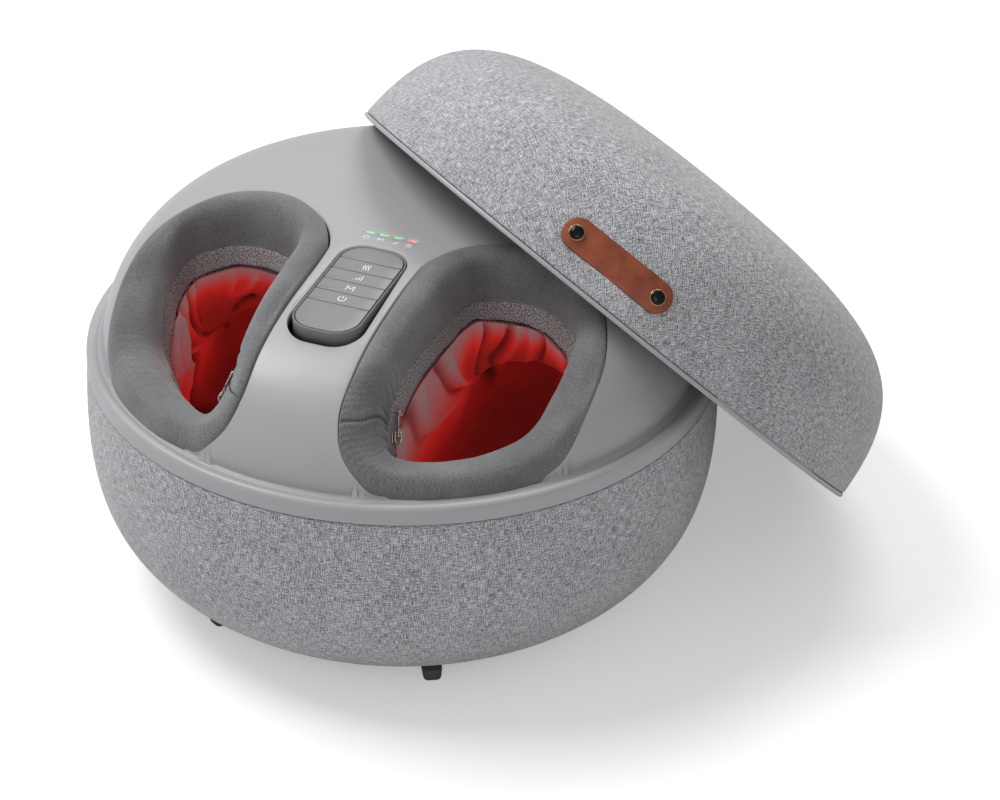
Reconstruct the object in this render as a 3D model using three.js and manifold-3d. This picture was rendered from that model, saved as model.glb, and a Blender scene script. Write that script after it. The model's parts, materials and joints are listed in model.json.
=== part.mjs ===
// Round foot massager with two padded foot wells and a lift-off lid that leans on its base.
// Millimetres, +Z up, +Y towards the toes, -Y towards the sitter.
// The origin is the centre of the base's flat underside; the rubber feet reach below it.
import * as THREE from 'three';
import { mergeVertices } from 'three/addons/utils/BufferGeometryUtils.js';
import Module from 'manifold-3d';

const wasm = await Module();
wasm.setup();

// Base: its fabric side is a curve from the underside's edge up to the seam under the top shell
const base_radius = 212;
const seam_height = 151;
const underside_inset = 59;
const belly_bulge = 6;
const belly_pull_height = 61;
const turn_inset = 7;
const turn_pull_height = 31;
const underside_radius = base_radius - underside_inset;
const belly_pull_radius = base_radius + belly_bulge;
const turn_pull_radius = base_radius - turn_inset;
const cover_thickness = 2.5;
const base_wall = 3;
const flange_width = 10;
const plate_thickness = 3;
const plate_inset = 7;
const plate_radius = underside_radius - plate_inset;
const clearance = 0.3;
const overrun = 5;

// Feet
const foot_height = 8.7;
const foot_width = 13;
const foot_length = 30;
const foot_overhang = 8;
const foot_reach = underside_radius + foot_overhang;
const foot_chamfer = 2;
const foot_count = 6;

// Screws under the base
const screw_count = 4;
const screw_inset = 5;
const screw_circle = plate_radius - screw_inset;
const screw_head_radius = 3.6;
const screw_head_height = 1.8;
const screw_shank_radius = 1.8;
const screw_length = 9;

// Top shell: a dome that is lower in front, and a lip with a soft groove round it
const lip_width = 11;
const lip_height = 13;
const dome_radius = base_radius - lip_width;
const dome_foot_height = seam_height + lip_height;
const dome_height = 84.5;
const dome_front_drop = 16;
const dome_back_rise = 2;
const dome_flatness_share = 6;
const dome_shoulder_share = 1.7;
const dome_radius_shares = [0, 0.3, 0.5, 0.64, 0.75, 0.84, 0.905, 0.95, 0.978, 0.994, 1];
const dome_inner_shares = [0, 0.4, 0.65, 0.82, 0.92, 0.975, 1];
const shell_wall = 3;
const lip_groove_depth = 0.8;
const lip_round = 3.5;
const lip_groove_share = 0.2;
const lip_round_shares = [[1.2, 0], [0.3, 0.4], [0, 1.2]];

// Foot wells, given for the sitter's right; the left ones are mirrored.
// Each row is a station round the mouth and round the throat below it:
// [mouth across, mouth back to front, throat across, throat back to front]
const well_inner_edge = 33;
const well_side_margin = 35;
const well_front_margin = 8;
const well_width = dome_radius - well_inner_edge - well_side_margin;
const well_length = dome_radius - well_front_margin;
const well_shares = [
  [0.004, 0.32, 0.106, 0.321],
  [0.022, 0.22, 0.128, 0.244],
  [0.117, 0.11, 0.188, 0.176],
  [0.289, 0.025, 0.309, 0.13],
  [0.444, 0, 0.444, 0.114],
  [0.614, 0.02, 0.579, 0.13],
  [0.777, 0.095, 0.684, 0.176],
  [0.909, 0.2, 0.775, 0.249],
  [0.983, 0.32, 0.812, 0.342],
  [1, 0.43, 0.797, 0.435],
  [0.98, 0.55, 0.737, 0.508],
  [0.893, 0.682, 0.632, 0.585],
  [0.711, 0.808, 0.519, 0.658],
  [0.487, 0.912, 0.398, 0.731],
  [0.289, 0.976, 0.301, 0.788],
  [0.149, 0.996, 0.226, 0.829],
  [0.046, 0.982, 0.188, 0.825],
  [0.004, 0.93, 0.152, 0.785],
  [0, 0.8, 0.127, 0.72],
  [0, 0.56, 0.106, 0.544],
];
const well_stations = 36;

// Pads: how deep the throat lies under the shell, and how high the padding crowns
const throat_depth_low = 3;
const throat_depth_high = 31;
const pad_crown_low = 13;
const pad_crown_high = 5;
const pad_crown_share = 0.5;
const pad_skirt = 10;
const pad_edge_rise = 1;
const pad_shoulder_drop = 12;
const pad_out_shares = [0, 0, 0.14, 0.4, 0.72, 0.93, 1, 1, 0.7];

// Zip tapes, their sliders and pull tabs
const tape_width = 12;
const tape_thickness = 1.4;
const tape_lean = 4;
const slider_station_share = 0.845;
const slider_length = 9;
const slider_width = 7;
const slider_height = 3;
const bridge_width = 2;
const bridge_height = 3.2;
const bridge_thickness = 1;
const pull_length = 18;
const pull_width = 6;
const pull_thickness = 1;
const pull_pin_radius = 0.6;
const pull_arm_width = 1.2;
const pull_arm_length = 6;
const pin_sides = 8;

// Foot liners: fabric bags with a toe box that reaches back under the dome
const liner_thickness = 1.5;
const liner_hem_gap = 1.2;
const liner_neck_shares = [[0.12, 0.3], [0.55, 0.62]];
const pleat_depth = 2.4;
const sole_height = 86;
const liner_inner_gap = 6;
const liner_outer_gap = 54;
const liner_front_gap = 31;
const liner_back_gap = 91;
const liner_half_width = (dome_radius - well_inner_edge - liner_inner_gap - liner_outer_gap) / 2;
const liner_half_length = dome_radius - (liner_front_gap + liner_back_gap) / 2;
const liner_middle_x = well_inner_edge + liner_inner_gap + liner_half_width;
const liner_middle_y = (liner_front_gap - liner_back_gap) / 2;
const girth_height = 141;
const sole_inset = 7;
const sole_round = 12;
const liner_corner_share = 0.8;

// Control panel, level with the shell at the back and proud of it in front
const panel_length = 101;
const panel_width = 46.4;
const panel_corner = 17;
const panel_depth = 17;
const panel_middle_y = -87.5;
const panel_drop = 4.9;
const panel_face_height = dome_foot_height + dome_height - panel_drop;
const panel_slope_deg = 3.2;
const panel_rim = 1.5;
const panel_wall = 2.4;
const panel_floor = 2;
const key_pitch = 12.9;
const key_gap = 0.4;
const key_thickness = 3;
const key_travel = 0.8;
const keys_back_edge = 32.7;
const key_stem_radius = 2;
const key_names = ['heat_key', 'intensity_key', 'mode_key', 'power_key'];
const board_thickness = 1.6;

// Indicator bars behind the panel
const light_names = ['power_light', 'mode_light', 'intensity_light', 'heat_light'];
const light_pitch = 10;
const light_row_y = -21;
const light_length = 6.6;
const light_width = 1.7;
const light_depth = 6;

// Lid: rim circle, height, and how it leans from the base down to the floor
const lid_height = 115;
const lid_side_inset = 4;
const lid_side_pull_height = 88;
const lid_top_inset = 39;
const lid_side_pull_radius = base_radius - lid_side_inset;
const lid_top_pull_radius = base_radius - lid_top_inset;
const lid_rim_height = 3;
const lid_rim_width = 7;
const lid_wall = 2.6;
const lid_lean_deg = 45.3;
const lid_turn_deg = 37.9;
const lid_side_shift = 5.5;

// Leather tag and its two rivets on the lid's side
const tag_turn_deg = 136.4;
const tag_height = 29;
const tag_length = 85;
const tag_width = 21;
const tag_thickness = 2;
const tag_steps = 8;
const tag_round_share = 0.88;
const tag_tip_share = 0.35;
const rivet_spacing = 65.6;
const rivet_radius = 5.2;
const rivet_height = 2.6;
const rivet_shares = [[0, 0], [1, 0], [1, 0.25], [0.6, 0.8], [0, 1]];

// Massage mechanism under each sole: three geared discs with three heads each
const disc_row_gap = 60;
const disc_pitch = liner_half_length - disc_row_gap;
const disc_names = ['front_disc', 'middle_disc', 'back_disc'];
const disc_row_shift = 5;
const disc_row_middle_y = liner_middle_y + disc_row_shift;
const disc_plate_gap = 7;
const disc_plate_radius = disc_pitch / 2 - disc_plate_gap;
const disc_plate_thickness = 7;
const disc_shaft_radius = 5;
const head_count = 3;
const head_radius = 11;
const head_height = 23;
const head_inset = 12;
const head_circle = disc_plate_radius - head_inset;
const head_shares = [[0.8, 0], [1, 0.55], [0.7, 0.88], [0, 1]];
const gear_teeth = 14;
const mesh_share = 0.25;
const gear_thickness = 5;
const tooth_height = 6;
const tooth_play = 0.9;
const tooth_tip_share = 0.22;
const tooth_root_share = 0.52;
const frame_thickness = 4;
const frame_half_width = 17;
const frame_end = 22;
const frame_leg = 8;
const frame_leg_reach = 50;
const wheel_teeth = 16;
const wheel_radius = 24;
const wheel_thickness = 7;
const wheel_drop = 6;
const worm_radius = 7;
const worm_root_radius = 5;
const worm_length = 30;
const worm_turns = 4;
const worm_steps = 5;
const worm_sides = 8;
const worm_shaft_radius = 2;
const motor_radius = 12;
const motor_length = 52;
const motor_gap = 6;
const cradle_width = 16;
const cradle_length = 10;
const lamp_radius = 7;
const lamp_offset = 44;
const lamp_ear = 8;
const lamp_tip_share = 0.7;

// Main board and the power inlet at the back
const main_board_width = 54;
const main_board_length = 66;
const main_board_inset = 54;
const main_board_y = plate_radius - main_board_inset;
const board_post = 8;
const board_post_height = 7;
const chip_height = 18;
const chip_shares = [[-0.25, 0.25, 0.3], [0.2, 0.2, 0.22], [0.1, -0.25, 0.4]];
const inlet_radius = 8;
const inlet_height = 36;
const inlet_length = 22;
const inlet_bore_radius = 3.2;
const inlet_bore_depth = 12;
const inlet_pin_radius = 1;
const inlet_proud = 3;

// Smoothness of round pieces
const round_segments = 36;
const small_segments = 12;
const head_segments = 9;
const disc_segments = 18;
const curve_halvings = 40;
const side_steps = 5;
const lid_steps = 6;

const full_turn = 2 * Math.PI;
const quarter_turn = Math.PI / 2;
const radians = THREE.MathUtils.degToRad;

// Materials
function plastic(color, roughness = 0.45) {
  return new THREE.MeshStandardMaterial({ color, roughness, metalness: 0 });
}

function cloth(color) {
  return new THREE.MeshStandardMaterial({ color, roughness: 0.95, metalness: 0 });
}

function metal(color, roughness = 0.35) {
  return new THREE.MeshStandardMaterial({ color, roughness, metalness: 1 });
}

const shell_grey = 0xb3b3b5;
const fabric_grey = 0x8f8f92;
const pad_grey = 0x6c6d6e;
const key_grey = 0xa6a8aa;
const panel_grey = 0x8b8d8f;
const dark_grey = 0x3a3b3d;
const liner_red = 0x9c1d1a;
const tape_grey = 0x7d6f72;
const leather_brown = 0x93502f;
const board_green = 0x1f5a3a;
const light_green = 0x3fa35a;
const light_red = 0xd8504a;

// Closed bodies: merge shared corners, drop empty triangles and turn every face outwards
function closedBody(geometry) {
  const bare = new THREE.BufferGeometry();
  bare.setAttribute('position', geometry.getAttribute('position'));
  bare.setIndex(geometry.getIndex());
  const merged = mergeVertices(bare);
  const corners = merged.getIndex().array;
  const kept = [];
  for (let i = 0; i < corners.length; i += 3) {
    const [a, b, c] = corners.slice(i, i + 3);
    if (a !== b && b !== c && c !== a) kept.push(a, b, c);
  }
  merged.setIndex(kept);
  return facingOut(merged);
}

function facingOut(geometry) {
  const place = geometry.getAttribute('position');
  const corners = Array.from(geometry.getIndex().array);
  const [a, b, c] = [new THREE.Vector3(), new THREE.Vector3(), new THREE.Vector3()];
  let volume = 0;
  for (let i = 0; i < corners.length; i += 3) {
    a.fromBufferAttribute(place, corners[i]);
    b.fromBufferAttribute(place, corners[i + 1]);
    c.fromBufferAttribute(place, corners[i + 2]);
    volume += a.dot(b.cross(c));
  }
  if (volume < 0) corners.reverse();
  geometry.setIndex(corners);
  return geometry;
}

function solidOf(geometry) {
  const body = closedBody(geometry);
  return new wasm.Manifold(new wasm.Mesh({
    numProp: 3,
    vertProperties: new Float32Array(body.getAttribute('position').array),
    triVerts: new Uint32Array(body.getIndex().array),
  }));
}

function geometryOf(solid) {
  const mesh = solid.getMesh();
  const geometry = new THREE.BufferGeometry();
  geometry.setAttribute('position', new THREE.BufferAttribute(mesh.vertProperties, 3));
  geometry.setIndex(Array.from(mesh.triVerts));
  return geometry;
}

function joined(first, ...others) {
  return geometryOf(others.reduce((sum, other) => sum.add(solidOf(other)), solidOf(first)));
}

function cutBy(first, ...cutters) {
  return geometryOf(cutters.reduce((rest, cutter) => rest.subtract(solidOf(cutter)), solidOf(first)));
}

function mirrored(geometry) {
  return closedBody(geometry.clone().scale(-1, 1, 1));
}

// Basic shapes, all standing along +Z
function revolved(profile, segments = round_segments) {
  const points = profile.map(([radius, height]) => new THREE.Vector2(radius, height));
  return closedBody(new THREE.LatheGeometry(points, segments).rotateX(quarter_turn));
}

function rod(radius, low, high, segments = small_segments) {
  return revolved([[0, high], [radius, high], [radius, low], [0, low]], segments);
}

function block(width, length, low, high, x = 0, y = 0) {
  return new THREE.BoxGeometry(width, length, high - low).translate(x, y, (low + high) / 2);
}

function extruded(outline, low, high, holes = []) {
  const shape = new THREE.Shape(outline);
  holes.forEach((hole) => shape.holes.push(new THREE.Path(hole)));
  const geometry = new THREE.ExtrudeGeometry(shape, { depth: high - low, bevelEnabled: false });
  return closedBody(geometry.translate(0, 0, low));
}

function roundOutline(radius, x, y, segments = small_segments) {
  const outline = [];
  for (let i = 0; i < segments; i += 1) {
    const turn = (full_turn * i) / segments;
    outline.push(new THREE.Vector2(x + radius * Math.cos(turn), y + radius * Math.sin(turn)));
  }
  return outline;
}

function roundedRectangle(width, length, corner, steps = 5) {
  const outline = [];
  const middles = [[1, 1], [-1, 1], [-1, -1], [1, -1]];
  middles.forEach(([across, along], quarter) => {
    for (let i = 0; i <= steps; i += 1) {
      const turn = quarter_turn * (quarter + i / steps);
      const x = across * (width / 2 - corner) + corner * Math.cos(turn);
      const y = along * (length / 2 - corner) + corner * Math.sin(turn);
      outline.push(new THREE.Vector2(x, y));
    }
  });
  return outline;
}

// A skin over rings of points; its ends are joined to each other or closed by a cap
function skin(rings, ends) {
  const round = rings[0].length;
  const points = rings.flat();
  const corners = [];
  const spans = ends === 'joined' ? rings.length : rings.length - 1;
  for (let i = 0; i < spans; i += 1) {
    const next = (i + 1) % rings.length;
    for (let j = 0; j < round; j += 1) {
      const k = (j + 1) % round;
      corners.push(i * round + j, i * round + k, next * round + k);
      corners.push(i * round + j, next * round + k, next * round + j);
    }
  }
  if (ends === 'capped') {
    addCap(points, corners, rings[0], 0, true);
    addCap(points, corners, rings.at(-1), (rings.length - 1) * round, false);
  }
  const geometry = new THREE.BufferGeometry().setFromPoints(points);
  geometry.setIndex(corners);
  return facingOut(geometry);
}

function addCap(points, corners, ring, first, reversed) {
  const middle = new THREE.Vector3();
  ring.forEach((point) => middle.addScaledVector(point, 1 / ring.length));
  const centre = points.push(middle) - 1;
  ring.forEach((_, j) => {
    const k = (j + 1) % ring.length;
    if (reversed) corners.push(centre, first + k, first + j);
    else corners.push(centre, first + j, first + k);
  });
}

// The object and its pieces
const massager = new THREE.Group();

function addPiece(name, geometry, material, group = massager) {
  const mesh = new THREE.Mesh(geometry, material);
  mesh.name = name;
  group.add(mesh);
  return mesh;
}

function addPair(name, geometry, material) {
  addPiece(`right_${name}`, geometry, material);
  addPiece(`left_${name}`, mirrored(geometry), material);
}

// Side of the base as an upright curve, and the same curve moved inwards
const side_curve = new THREE.CubicBezierCurve(
  new THREE.Vector2(underside_radius, 0),
  new THREE.Vector2(turn_pull_radius, turn_pull_height),
  new THREE.Vector2(belly_pull_radius, belly_pull_height),
  new THREE.Vector2(base_radius, seam_height),
);

function sidePoints(inset, steps = side_steps) {
  const points = [];
  for (let i = 0; i <= steps; i += 1) {
    const place = side_curve.getPoint(i / steps);
    const along = side_curve.getTangent(i / steps);
    points.push([place.x - inset * along.y, place.y + inset * along.x]);
  }
  return points;
}

// Where on a rising curve a height is reached, by halving
function shareAtHeight(curve, height) {
  let low = 0;
  let high = 1;
  for (let i = 0; i < curve_halvings; i += 1) {
    const middle = (low + high) / 2;
    if (curve.getPoint(middle).y < height) low = middle;
    else high = middle;
  }
  return low;
}

// Base wall, fabric side cover, bottom plate with its screws, and the feet
const wall_outer_inset = cover_thickness + clearance;
const wall_inner_inset = wall_outer_inset + base_wall;
const flange_low = plate_thickness + clearance;
const inlet_radius_here = side_curve.getPoint(shareAtHeight(side_curve, inlet_height)).x;

function inletCutter() {
  const cutter = rod(inlet_radius + clearance, -inlet_length, base_wall + inlet_length);
  return cutter.rotateX(-quarter_turn).translate(0, inlet_radius_here, inlet_height);
}

function baseWall() {
  const outer = sidePoints(wall_outer_inset).slice(1);
  const inner = sidePoints(wall_inner_inset).slice(1).reverse();
  const toe = [plate_radius + clearance, flange_low];
  const flange_inner = plate_radius - flange_width;
  const flange_top = flange_low + base_wall;
  const profile = [[flange_inner, flange_low], toe, ...outer, ...inner];
  profile.push([plate_radius, flange_top], [flange_inner, flange_top], [flange_inner, flange_low]);
  const hole = rod(screw_shank_radius + clearance, 0, flange_top + overrun);
  const holes = screwPlaces().map(([x, y]) => hole.clone().translate(x, y, 0));
  return cutBy(revolved(profile), inletCutter(), ...holes);
}

function sideCover() {
  const outer = sidePoints(0);
  const inner = sidePoints(cover_thickness).reverse();
  return cutBy(revolved([...outer, ...inner, outer[0]]), inletCutter());
}

function screwPlaces() {
  const places = [];
  for (let i = 0; i < screw_count; i += 1) {
    const turn = full_turn * ((i + 0.5) / screw_count);
    places.push([screw_circle * Math.sin(turn), screw_circle * Math.cos(turn)]);
  }
  return places;
}

function bottomPlate() {
  const plate = rod(plate_radius, 0, plate_thickness, round_segments);
  const bosses = boardPosts().concat(cradles());
  const shank_hole = rod(screw_shank_radius + clearance, -overrun, plate_thickness + overrun);
  const head_hole = rod(screw_head_radius + clearance, -overrun, screw_head_height);
  const hole = joined(shank_hole, head_hole);
  const holes = screwPlaces().map(([x, y]) => hole.clone().translate(x, y, 0));
  return cutBy(joined(plate, ...bosses), ...holes, ...motorSpaces());
}

function screw() {
  const head_low = -clearance;
  const head_high = screw_head_height - clearance;
  const profile = [[0, head_low], [screw_head_radius, head_low], [screw_head_radius, head_high]];
  profile.push([screw_shank_radius, head_high], [screw_shank_radius, screw_length], [0, screw_length]);
  return revolved(profile, small_segments);
}

function foot() {
  const half = foot_width / 2;
  const start = foot_reach - foot_length;
  const outline = [[start, -half], [foot_reach - foot_chamfer, -half], [foot_reach, foot_chamfer - half],
    [foot_reach, half - foot_chamfer], [foot_reach - foot_chamfer, half], [start, half]];
  const points = outline.map(([x, y]) => new THREE.Vector2(x, y));
  return extruded(points, -clearance - foot_height, -clearance);
}

addPiece('base_wall', baseWall(), plastic(dark_grey));
addPiece('side_cover', sideCover(), cloth(fabric_grey));
screwPlaces().forEach(([x, y], i) => {
  addPiece(`base_screw_${i + 1}`, screw(), metal(panel_grey)).position.set(x, y, 0);
});
for (let i = 0; i < foot_count; i += 1) {
  const mesh = addPiece(`foot_${i + 1}`, foot(), plastic(dark_grey, 0.8));
  mesh.rotation.z = full_turn * ((i + 1) / foot_count) - quarter_turn + full_turn / foot_count / 2;
}

// Top shell: height of the dome over the base, as a soft-cornered curve leaned forwards
function domeShare(radius) {
  const out = Math.min(radius / dome_radius, 1);
  return (1 - out ** dome_flatness_share) ** (1 / dome_shoulder_share);
}

function domeLean(y) {
  const along = y / dome_radius;
  const even = (dome_back_rise + dome_front_drop) / 2;
  const bend = (dome_back_rise - dome_front_drop) / 2;
  return even * along + bend * along * along;
}

function domeHeightAt(x, y) {
  return dome_foot_height + (dome_height + domeLean(y)) * domeShare(Math.hypot(x, y));
}

function leanDome(geometry) {
  const place = geometry.getAttribute('position');
  for (let i = 0; i < place.count; i += 1) {
    const share = Math.max(0, (place.getZ(i) - dome_foot_height) / dome_height);
    place.setZ(i, place.getZ(i) + share * domeLean(place.getY(i)));
  }
  return geometry;
}

// Foot wells: closed curves through the stations, and the points on them
function wellCurve(across, along) {
  const points = well_shares.map((row) => new THREE.Vector3(
    well_inner_edge + well_width * row[across],
    -well_length * row[along],
    0,
  ));
  return new THREE.CatmullRomCurve3(points, true, 'centripetal');
}

const mouth_curve = wellCurve(0, 1);
const throat_curve = wellCurve(2, 3);

function station(share) {
  const mouth = mouth_curve.getPoint(share);
  const throat = throat_curve.getPoint(share);
  mouth.z = domeHeightAt(mouth.x, mouth.y);
  const high = (mouth.z - dome_foot_height) / dome_height;
  throat.z = mouth.z - THREE.MathUtils.lerp(throat_depth_low, throat_depth_high, high);
  const along = throat_curve.getTangent(share);
  const inward = new THREE.Vector3(along.y, -along.x, 0).normalize();
  return { mouth, throat, high, inward };
}

function stations() {
  const list = [];
  for (let i = 0; i < well_stations; i += 1) list.push(station(i / well_stations));
  return list;
}

function mouthOutline(margin) {
  return stations().map(({ mouth }, i) => {
    const along = mouth_curve.getTangent(i / well_stations);
    return new THREE.Vector2(mouth.x - margin * along.y, mouth.y + margin * along.x);
  });
}

// Pad round a well: it stands in the shell's opening, crowns over it and rolls down to the throat
function padSection({ mouth, throat, high }) {
  const rise = Math.min(high / pad_crown_share, 1);
  const crown = mouth.z + THREE.MathUtils.lerp(pad_crown_low, pad_crown_high, rise);
  const heights = [
    mouth.z - pad_skirt,
    mouth.z + pad_edge_rise,
    crown - pad_edge_rise,
    crown,
    crown - pad_shoulder_drop / 4,
    crown - pad_shoulder_drop,
    throat.z + pad_shoulder_drop / 4,
    throat.z,
    Math.min(throat.z, mouth.z - pad_skirt),
  ];
  return heights.map((height, i) => {
    const point = new THREE.Vector3().lerpVectors(mouth, throat, pad_out_shares[i]);
    return point.setZ(height);
  });
}

function pad() {
  return skin(stations().map(padSection), 'joined');
}

// Zip tape: a band that hangs inside the throat and leans towards the middle of the well
function tapePoint({ throat, inward }, inset, drop) {
  return throat.clone().addScaledVector(inward, inset).add(new THREE.Vector3(0, 0, -drop));
}

function zipTape(margin = 0) {
  const sections = stations().map((here) => [
    tapePoint(here, -margin, clearance - margin),
    tapePoint(here, tape_thickness + margin, clearance - margin),
    tapePoint(here, tape_lean + tape_thickness + margin, tape_width + margin),
    tapePoint(here, tape_lean - margin, tape_width + margin),
  ]);
  return skin(sections, 'joined');
}

// Foot liner: rings from the tape's lower edge out to the bag's girth and down to the sole,
// with a fold at every other station under the hem
function girthPoint({ throat }, inset) {
  const half = (throat_span.max.x - throat_span.min.x) / 2;
  const reach = (throat_span.max.y - throat_span.min.y) / 2;
  const middle = throat_span.getCenter(new THREE.Vector3());
  const turn = Math.atan2((throat.y - middle.y) / reach, (throat.x - middle.x) / half);
  const bulge = (value) => Math.sign(value) * Math.abs(value) ** liner_corner_share;
  return new THREE.Vector3(
    liner_middle_x + (liner_half_width - inset) * bulge(Math.cos(turn)),
    liner_middle_y + (liner_half_length - inset) * bulge(Math.sin(turn)),
    girth_height,
  );
}

const throat_span = new THREE.Box3().setFromPoints(throat_curve.getPoints(well_stations));

function linerRings(inset) {
  const raised = (point, height) => point.clone().setZ(height);
  const top = stations().map((here) => tapePoint(here, tape_lean + inset, tape_width + liner_hem_gap));
  const girth = stations().map((here) => girthPoint(here, inset));
  const sole = stations().map((here) => girthPoint(here, inset + sole_inset));
  const neck = liner_neck_shares.map(([out, down]) => top.map((point, j) => {
    const height = THREE.MathUtils.lerp(point.z, girth_height, down);
    const fold = (j % 2) * pleat_depth * down;
    return point.clone().lerp(girth[j], out).setZ(height - fold);
  }));
  return [
    top,
    ...neck,
    girth,
    girth.map((point) => raised(point, sole_height + sole_round)),
    sole.map((point) => raised(point, sole_height + inset)),
  ];
}

function footLiner() {
  const bag = skin([...linerRings(0).reverse(), ...linerRings(liner_thickness)], 'capped');
  return cutBy(bag, zipTape(clearance));
}

// Zip slider and pull tab, lying on the tape at the inner front of the well
function sliderFrame() {
  const here = station(slider_station_share);
  const next = station(slider_station_share + 1 / well_stations);
  const along = new THREE.Vector3().subVectors(next.throat, here.throat).normalize();
  const down = new THREE.Vector3().subVectors(
    tapePoint(here, tape_lean + tape_thickness, tape_width),
    tapePoint(here, tape_thickness, clearance),
  ).normalize();
  const out = new THREE.Vector3().crossVectors(down, along).normalize();
  if (out.dot(here.inward) < 0) out.negate();
  const across = new THREE.Vector3().crossVectors(out, along).normalize();
  const seat = tapePoint(here, tape_thickness + tape_lean / 2, tape_width / 2);
  seat.addScaledVector(out, 2 * clearance);
  return new THREE.Matrix4().makeBasis(along, across, out).setPosition(seat);
}

const pin_height = slider_height + bridge_height / 2;

function zipSlider() {
  const body = block(slider_length, slider_width, 0, slider_height);
  const top = slider_height + bridge_height;
  const bar = block(slider_length, bridge_width, slider_height - clearance, top);
  const space = block(slider_length - 2 * bridge_thickness - clearance, slider_width, slider_height,
    top - bridge_thickness);
  return joined(body, cutBy(bar, space)).applyMatrix4(sliderFrame());
}

function zipPull() {
  const arm_middle = bridge_width / 2 + clearance + pull_arm_width / 2;
  const arm_low = pin_height - pull_thickness / 2;
  const arm_high = pin_height + pull_thickness / 2;
  const pin = rod(pull_pin_radius, -arm_middle, arm_middle, pin_sides).rotateX(quarter_turn)
    .translate(0, 0, pin_height);
  const arms = [-1, 1].map((side) => block(
    pull_arm_length + pull_thickness, pull_arm_width, arm_low, arm_high,
    pull_arm_length / 2, side * arm_middle,
  ));
  const plate_length = pull_length - pull_arm_length;
  const plate = block(plate_length, pull_width, arm_low, arm_high, pull_arm_length + plate_length / 2);
  return joined(pin, ...arms, plate).applyMatrix4(sliderFrame());
}

addPair('well_pad', pad(), cloth(pad_grey));
addPair('zip_tape', zipTape(), cloth(tape_grey));
addPair('foot_liner', footLiner(), cloth(liner_red));
addPair('zip_slider', zipSlider(), metal(panel_grey));
addPair('zip_pull', zipPull(), metal(panel_grey));

// Control panel: everything in it is drawn from the middle of its face, then tilted into place
const panel_group = new THREE.Group();
panel_group.position.set(0, panel_middle_y, panel_face_height);
panel_group.rotation.x = radians(panel_slope_deg);
panel_group.updateMatrixWorld(true);
massager.add(panel_group);

const key_field_length = key_pitch * key_names.length;
const key_field_width = panel_width - 2 * panel_rim;
const key_field_y = keys_back_edge - key_field_length / 2;
const pocket_depth = key_thickness + key_travel + key_gap;
const board_top = -pocket_depth - panel_floor - clearance;
const stem_bottom = board_top + key_travel + key_gap;

function keyPlace(i) {
  return keys_back_edge - (i + 0.5) * key_pitch;
}

function panelHousing() {
  const body = extruded(roundedRectangle(panel_width, panel_length, panel_corner), -panel_depth, 0);
  const pocket = block(key_field_width, key_field_length, -pocket_depth, overrun, 0, key_field_y);
  const under = roundedRectangle(panel_width - 2 * panel_wall, panel_length - 2 * panel_wall,
    panel_corner - panel_wall);
  const hollow = extruded(under, -panel_depth - overrun, -pocket_depth - panel_floor);
  const holes = key_names.map((_, i) => rod(key_stem_radius + clearance, -panel_depth, 0)
    .translate(0, keyPlace(i), 0));
  return cutBy(body, pocket, hollow, ...holes);
}

function panelKey(i) {
  const cap = block(key_field_width - 2 * key_gap, key_pitch - key_gap, -key_thickness, 0, 0, keyPlace(i));
  const stem = rod(key_stem_radius, stem_bottom, -key_thickness / 2, pin_sides).translate(0, keyPlace(i), 0);
  return joined(cap, stem);
}

function controlBoard() {
  const width = panel_width - 2 * panel_wall - 2 * clearance - panel_corner / 2;
  const length = key_field_length + key_pitch;
  const board = block(width, length, board_top - board_thickness, board_top, 0, key_field_y);
  const switches = key_names.map((_, i) => rod(key_stem_radius, board_top - board_thickness / 2,
    stem_bottom - key_travel - clearance / 2, pin_sides).translate(0, keyPlace(i), 0));
  return joined(board, ...switches);
}

addPiece('control_panel', panelHousing(), plastic(panel_grey), panel_group);
key_names.forEach((name, i) => addPiece(name, panelKey(i), plastic(key_grey), panel_group));
addPiece('control_board', controlBoard(), plastic(board_green), panel_group);

// Indicator bars stand in slots of the shell, level with it
function lightPlace(i) {
  return (i - (light_names.length - 1) / 2) * light_pitch;
}

light_names.forEach((name, i) => {
  const top = domeHeightAt(lightPlace(i), light_row_y);
  const bar = block(light_length, light_width, top - light_depth, top, lightPlace(i), light_row_y);
  addPiece(name, bar, plastic(name === 'heat_light' ? light_red : light_green, 0.3));
});

// Top shell's profile: the dome's outside, the lip, and back up along the dome's inside
function shellProfile() {
  const edge = dome_foot_height;
  const lip_top = edge + lip_groove_depth / 2;
  const foot_low = seam_height + clearance;
  const profile = dome_radius_shares.map((share) => {
    const radius = share * dome_radius;
    return [radius, edge + dome_height * domeShare(radius)];
  });
  profile.push([dome_radius + lip_width * lip_groove_share, edge - lip_groove_depth]);
  lip_round_shares.forEach(([back, down]) => {
    profile.push([base_radius - lip_round * back, lip_top - lip_round * down]);
  });
  profile.push([base_radius, foot_low], [dome_radius - shell_wall, foot_low]);
  dome_inner_shares.toReversed().forEach((share) => {
    const lift = (dome_height - shell_wall) * domeShare(share * dome_radius);
    profile.push([share * (dome_radius - shell_wall), edge + lift]);
  });
  return profile;
}

function topShell() {
  const dome = leanDome(revolved(shellProfile()));
  const low = seam_height - overrun;
  const high = dome_foot_height + 2 * dome_height;
  const mouth = extruded(mouthOutline(clearance), low, high);
  const panel_hole = extruded(
    roundedRectangle(panel_width + 2 * clearance, panel_length + 2 * clearance, panel_corner + clearance),
    -2 * panel_depth,
    panel_depth,
  ).applyMatrix4(panel_group.matrixWorld);
  const slot = block(light_length + 2 * clearance, light_width + 2 * clearance, high / 2, high);
  const slots = light_names.map((_, i) => slot.clone().translate(lightPlace(i), light_row_y, 0));
  return cutBy(dome, mouth, mirrored(mouth), panel_hole, ...slots);
}

const top_shell = topShell();
addPiece('top_shell', top_shell, plastic(shell_grey, 0.4));

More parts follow.
